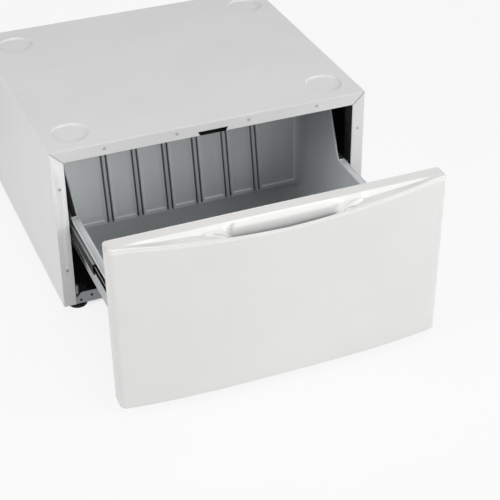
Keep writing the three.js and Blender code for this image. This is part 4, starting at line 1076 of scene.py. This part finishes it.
def wall_ring(z, offset=0.0, inset=0.0):
    """A ring at height z: the inner wall's line, moved outward by offset and drawn in by inset."""
    z = np.broadcast_to(z, len(ring))
    x, y = inner_at(z)
    reach = offset - inset
    return np.stack([x + reach * out_x, y + reach * out_y, z], axis=1)


# The inside, from the floor's edge up: a round bend, close rings just above it, then the wall, whose
# top bends to meet the brim squarely where the brim climbs.
faces_back = rear_share > 0.02
bend_in = np.where(ring_c > 0, 24 - 21 * rear_share, np.where(on_side, 24, 12))
low_top = bin_floor + bend_in
inner_top = line_z - 1.6 * tilt_z
rings = [wall_ring(bin_floor, 0, bend_in + 4)]
for turn_by in np.radians([0, 12, 25, 38, 51, 64, 77, 90]):
    z = bin_floor + bend_in * (1 - math.cos(turn_by))
    rings.append(wall_ring(z, 0, bend_in * (1 - math.sin(turn_by))))
for above in (0.35, 0.7, 1.05, 1.4, 1.75, 2.1, 2.5, 3.0, 4.5, 8.0):
    rings.append(wall_ring(low_top + above))
for share in np.concatenate([np.linspace(0, 0.9, 22)[1:], np.linspace(0.9, 1, 16)[1:]]):
    points = wall_ring(low_top + 8 + share * (inner_top - low_top - 8))
    points[:, 1] -= 1.6 * tilt_y * share ** 12
    rings.append(points)
inner_count = len(rings)
for points in rings:
    points[:, 1] += np.where(faces_back, pressed(points[:, 0], points[:, 2]) * rear_share, 0)

# The brim: a round turn outward, a shallow dip between two beads, then the flange's edge and its
# underside.
bead = np.minimum(2.6, 0.4 * flange)
dip = 0.8 * np.clip((flange - 7) / 5, 0, 1)
for turn_by in np.radians([30, 60, 90]):
    out, down = 1 - math.cos(turn_by), 1 - math.sin(turn_by)
    rings.append(brim_ring(brim_round * out, -brim_round * down))
outer_bead = np.maximum(flange - 4.6, bead + 0.7)
for outward, height in (
    (bead, 0), (bead + 0.5, -0.8 * dip), (bead + 0.9, -dip), (outer_bead - 0.4 * (dip > 0), -dip),
    (outer_bead + 0.2, -0.8 * dip), (outer_bead + 0.6, 0),
):
    rings.append(brim_ring(np.minimum(outward, flange - 1.2), height))
for turn_by in np.radians([0, 30, 60, 90]):
    short, down = 1 - math.sin(turn_by), 1 - math.cos(turn_by)
    rings.append(brim_ring(flange - flange_round * short, -flange_round * down))
under = np.maximum(flange - wall_out, 0.3)
for outward, height in (
    (flange, -2.6), (flange - 0.3, -3.0), (wall_out + 0.5 * under, -3.0), (wall_out + 0.02 * under, -3.15),
):
    rings.append(brim_ring(outward, height))

# The outside, back down the wall and round under the floor.
outer_top = line_z - 4.2 * tilt_z
for share in np.linspace(0, 1, 12):
    points = wall_ring(outer_top + share * (low_top + 1 - outer_top), wall_out)
    points[:, 1] -= 3.6 * tilt_y * (1 - share) ** 8
    rings.append(points)
bend_out = bend_in + wall
for turn_by in np.radians([90, 75, 60, 45, 30, 15, 0]):
    z = bin_floor - wall + bend_out * (1 - math.cos(turn_by))
    rings.append(wall_ring(z, wall_out, bend_out * (1 - math.sin(turn_by))))
rings.append(wall_ring(bin_floor - wall, wall_out, bend_out + 4))

bin_points = np.array(rings)
painted_light_mark, painted_shade_mark = rear_marks(bin_points[..., 0], bin_points[..., 2])
marked = faces_back[None, :] & (np.arange(len(rings)) < inner_count)[:, None]
fading = np.clip(rear_share / 0.5, 0, 1)[None, :]
painted_light_mark, painted_shade_mark = painted_light_mark * marked * fading, painted_shade_mark * marked * fading
brim_count = 13                    # rings from the inner wall's top to the flange's outer edge
# Painted highlight: the low brim's top is lighter where light falls on it.
painted_light_mark[inner_count:inner_count + brim_count] = 0.3 * (line_z < rim_level + 40)
tub = surface(
    "bin_tub", placed(*np.moveaxis(bin_points, -1, 0))[::-1], grey_plastic, "drawer", ends="face",
    marks={"painted_light": painted_light_mark[::-1], "painted_shade": painted_shade_mark[::-1]},
)
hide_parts("bin")

# ---------------------------------------------------------------- drawer frame
# Two galvanised side rails carry the bin's rim. Brackets, and channels inside the drawer front, join
# the rails to the front, and two zinc-plated screws hold each bracket. Below the slides' top the
# rails turn near black towards the cabinet, as painted shade.

rail_steel = Finish("galvanised_rail", {"Specular IOR Level": 0.5})
rail_spangle = rail_steel.cells(150.0, (1, 0.4, 1))
rail_bloom = rail_steel.noise(24.0, 5.0, (1, 0.15, 1))
slide_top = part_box("slide_outer_left")[1][2]
# Painted shade: near black, less metallic and rougher below the slides' top towards the cabinet, where the
# rails lie in its shade.
cabinet_shade = rail_steel.axis("Y").between(face_y - 0.13, face_y - 0.03) * (rail_steel.axis("Z") < slide_top)
rail_tone = rail_steel.mixed(
    rail_spangle * 0.35 + rail_bloom * 0.65, (0.30, 0.31, 0.32), (0.48, 0.49, 0.50),
)
rail_steel.colour(rail_steel.mixed(cabinet_shade, rail_tone, (0.02, 0.021, 0.022)))
rail_steel.metallic(0.72 - cabinet_shade * 0.55)
rail_steel.roughness(0.36 + rail_spangle * 0.16 + rail_bloom * 0.10 + cabinet_shade * 0.25)
rail_steel.relief(rail_steel.noise(700.0, 3.0, (1, 0.2, 1)) + rail_spangle * 0.3, 0.00003)

for side in ("left", "right"):
    for kind in ("side_rail", "front_bracket", "front_stiffener"):
        dressed(f"{kind}_{side}", f"steel_{kind}_{side}", rail_steel, "drawer", sheared_edge)
    for row in ("lower", "upper"):
        dressed(f"bracket_screw_{row}_{side}", f"zinc_screw_{row}_{side}", zinc, "drawer", 0.0005)
dressed("catch_tongue", "steel_catch_tongue", galvanised, "drawer", sheared_edge)

# ---------------------------------------------------------------- slides
# Three cold-rolled channels a side, one inside the other, with two caged rows of balls between each
# pair. Their near-black tone is painted shade, while their upper and lower edges shine with zinc, and
# so do the tips of the inner channels' flanges where they are drawn out.

slide_steel = Finish("cold_rolled_slide", {"Specular IOR Level": 0.08})
draw_lines = slide_steel.noise(90.0, 5.0, (1, 0.02, 8))
grease = slide_steel.noise(22.0, 3.0).between(0.45, 0.75)
slide_low, slide_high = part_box("slide_middle_left")
slide_middle_z = (slide_low[2] + slide_high[2]) / 2
inner_out = -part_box("slide_inner_left")[0][0]
edges = abs(slide_steel.axis("Z") - slide_middle_z) > (slide_high[2] - slide_low[2]) / 2 - 0.0012
outward = abs(slide_steel.axis("X"))
tips = (outward > inner_out - 0.0006) * (outward < inner_out + 0.0002)
race = edges + tips * (slide_steel.axis("Y") < face_y) > 0.5
# Painted shade: the channels are near black apart from their zinc edges and drawn-out tips.
slide_steel.colour(slide_steel.mixed(
    race, slide_steel.mixed(draw_lines, (0.010, 0.0105, 0.011), (0.024, 0.025, 0.026)),
    slide_steel.mixed(draw_lines, (0.50, 0.51, 0.52), (0.66, 0.67, 0.68)),
))
slide_steel.metallic(race * 0.92)
slide_steel.roughness(0.58 - race * 0.28 + draw_lines * 0.14 - grease * 0.10)
slide_steel.relief(draw_lines, 0.00003)

cage_zinc = Finish("ball_cage_zinc", {"Specular IOR Level": 0.5})
cage_tone = cage_zinc.noise(180.0, 3.0)
cage_zinc.colour(cage_zinc.mixed(cage_tone, (0.40, 0.41, 0.41), (0.58, 0.58, 0.57)))
cage_zinc.metallic(0.85)
cage_zinc.roughness(0.28 + cage_tone * 0.2)

for side in ("left", "right"):
    for part, body in (("outer", "cabinet"), ("middle", f"middle_{side}"), ("inner", "drawer")):
        channel = f"slide_{part}_{side}"
        dressed(channel, f"{channel}_rolled", slide_steel, body, 0.0003)
    for part in ("outer", "inner"):
        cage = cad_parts[f"ball_cage_{part}_{side}"]
        cage.data.materials.clear()
        cage.data.materials.append(cage_zinc.material)

# ---------------------------------------------------------------- levelling feet
# A black nylon pad moulded round the end of a zinc-plated M10 stud, and a lock nut under the body.
# The stud turns in a nut welded on the foot plate.

black_nylon = Finish("black_nylon", {"Specular IOR Level": 0.2})
nylon_tone = black_nylon.noise(40.0, 3.0)
black_nylon.colour(black_nylon.mixed(nylon_tone, (0.005, 0.0052, 0.0055), (0.011, 0.0112, 0.0115)))
black_nylon.roughness(0.52 + nylon_tone * 0.15)
black_nylon.relief(black_nylon.noise(1300.0, 2.0), 0.00004)

foot_turn = np.linspace(0, 2 * np.pi, 72, endpoint=False)[None, :]
pad_profile = np.array([
    (12.0, 0.0), (18.2, 0.0), (19.6, 0.5), (20.3, 1.4), (20.5, 2.4), (20.5, 6.4), (20.1, 7.5), (19.0, 8.5),
    (17.2, 9.4), (15.0, 9.9), (12.0, 10.0), (7.2, 10.0), (6.4, 9.8), (5.9, 9.2), (5.6, 8.0),
])
thread_rise = np.linspace(8.3, 46.2, 230)[:, None]
tip_rise, tip_radius = np.array([[46.6], [47.0]]), np.array([[4.3], [3.4]])
pitch = 1.5


def thread_radius(angle, rise):
    """Stud radius: a triangle wave of the height over the pitch less the turn, with flats worn on
    its crests and roots, so the ridge climbs as a screw thread does."""
    phase = (rise / pitch - angle / (2 * np.pi)) % 1.0
    wave = np.clip(np.abs(phase - 0.5) * 2.6 - 0.15, 0, 1)
    return 4.28 + 0.68 * wave


def about_axis(radius, rise):
    """Rings about an upright axis: x = radius cos(turn), y = radius sin(turn), at that rise."""
    return np.stack(np.broadcast_arrays(
        radius * np.cos(foot_turn), radius * np.sin(foot_turn), rise,
    ), axis=-1)


pad_radius, pad_rise = pad_profile[:, :1], pad_profile[:, 1:]
grip = 1 - 0.018 * (np.cos(foot_turn * 18) > 0.2) * ((pad_rise > 2.3) & (pad_rise < 7.6))
pad = about_axis(pad_radius * grip, pad_rise)
stud = np.concatenate([
    about_axis(thread_radius(foot_turn, thread_rise), thread_rise), about_axis(tip_radius, tip_rise),
])
for end in ("front", "rear"):
    for side in ("left", "right"):
        foot = f"foot_{end}_{side}"
        low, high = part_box(foot)
        axis_at = np.array([500 * (low[0] + high[0]), 500 * (low[1] + high[1]), 0])
        for name, rings, finish, slot in (
            ("foot_pad", pad, black_nylon, "black_plastic"), ("foot_stud", stud, zinc, "zinc"),
        ):
            placed_rings = (axis_at + rings) / 1000
            piece = surface(f"{name}_{end}_{side}", placed_rings, finish, foot, ends="face")
            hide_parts(foot)
        dressed(f"lock_nut_{end}_{side}", f"zinc_lock_nut_{end}_{side}", zinc, "cabinet", 0.0006)

# ---------------------------------------------------------------- small black parts
# Soft rubber bumpers on the liner take the shock when the drawer shuts, and a black ferrite magnet
# on the rail's shelf holds the steel tongue of the catch.

rubber = Finish("black_rubber", {"Specular IOR Level": 0.3})
rubber_tone = rubber.noise(300.0, 3.0)
rubber.colour(rubber.mixed(rubber_tone, (0.014, 0.014, 0.015), (0.028, 0.028, 0.029)))
rubber.roughness(0.74 + rubber_tone * 0.2)
for row in ("lower", "upper"):
    for side in ("left", "right"):
        dressed(f"bumper_{row}_{side}", f"rubber_bumper_{row}_{side}", rubber, "drawer", 0.0005)
dressed("catch_magnet", "ferrite_catch_magnet", black_nylon, "cabinet", 0.0003)
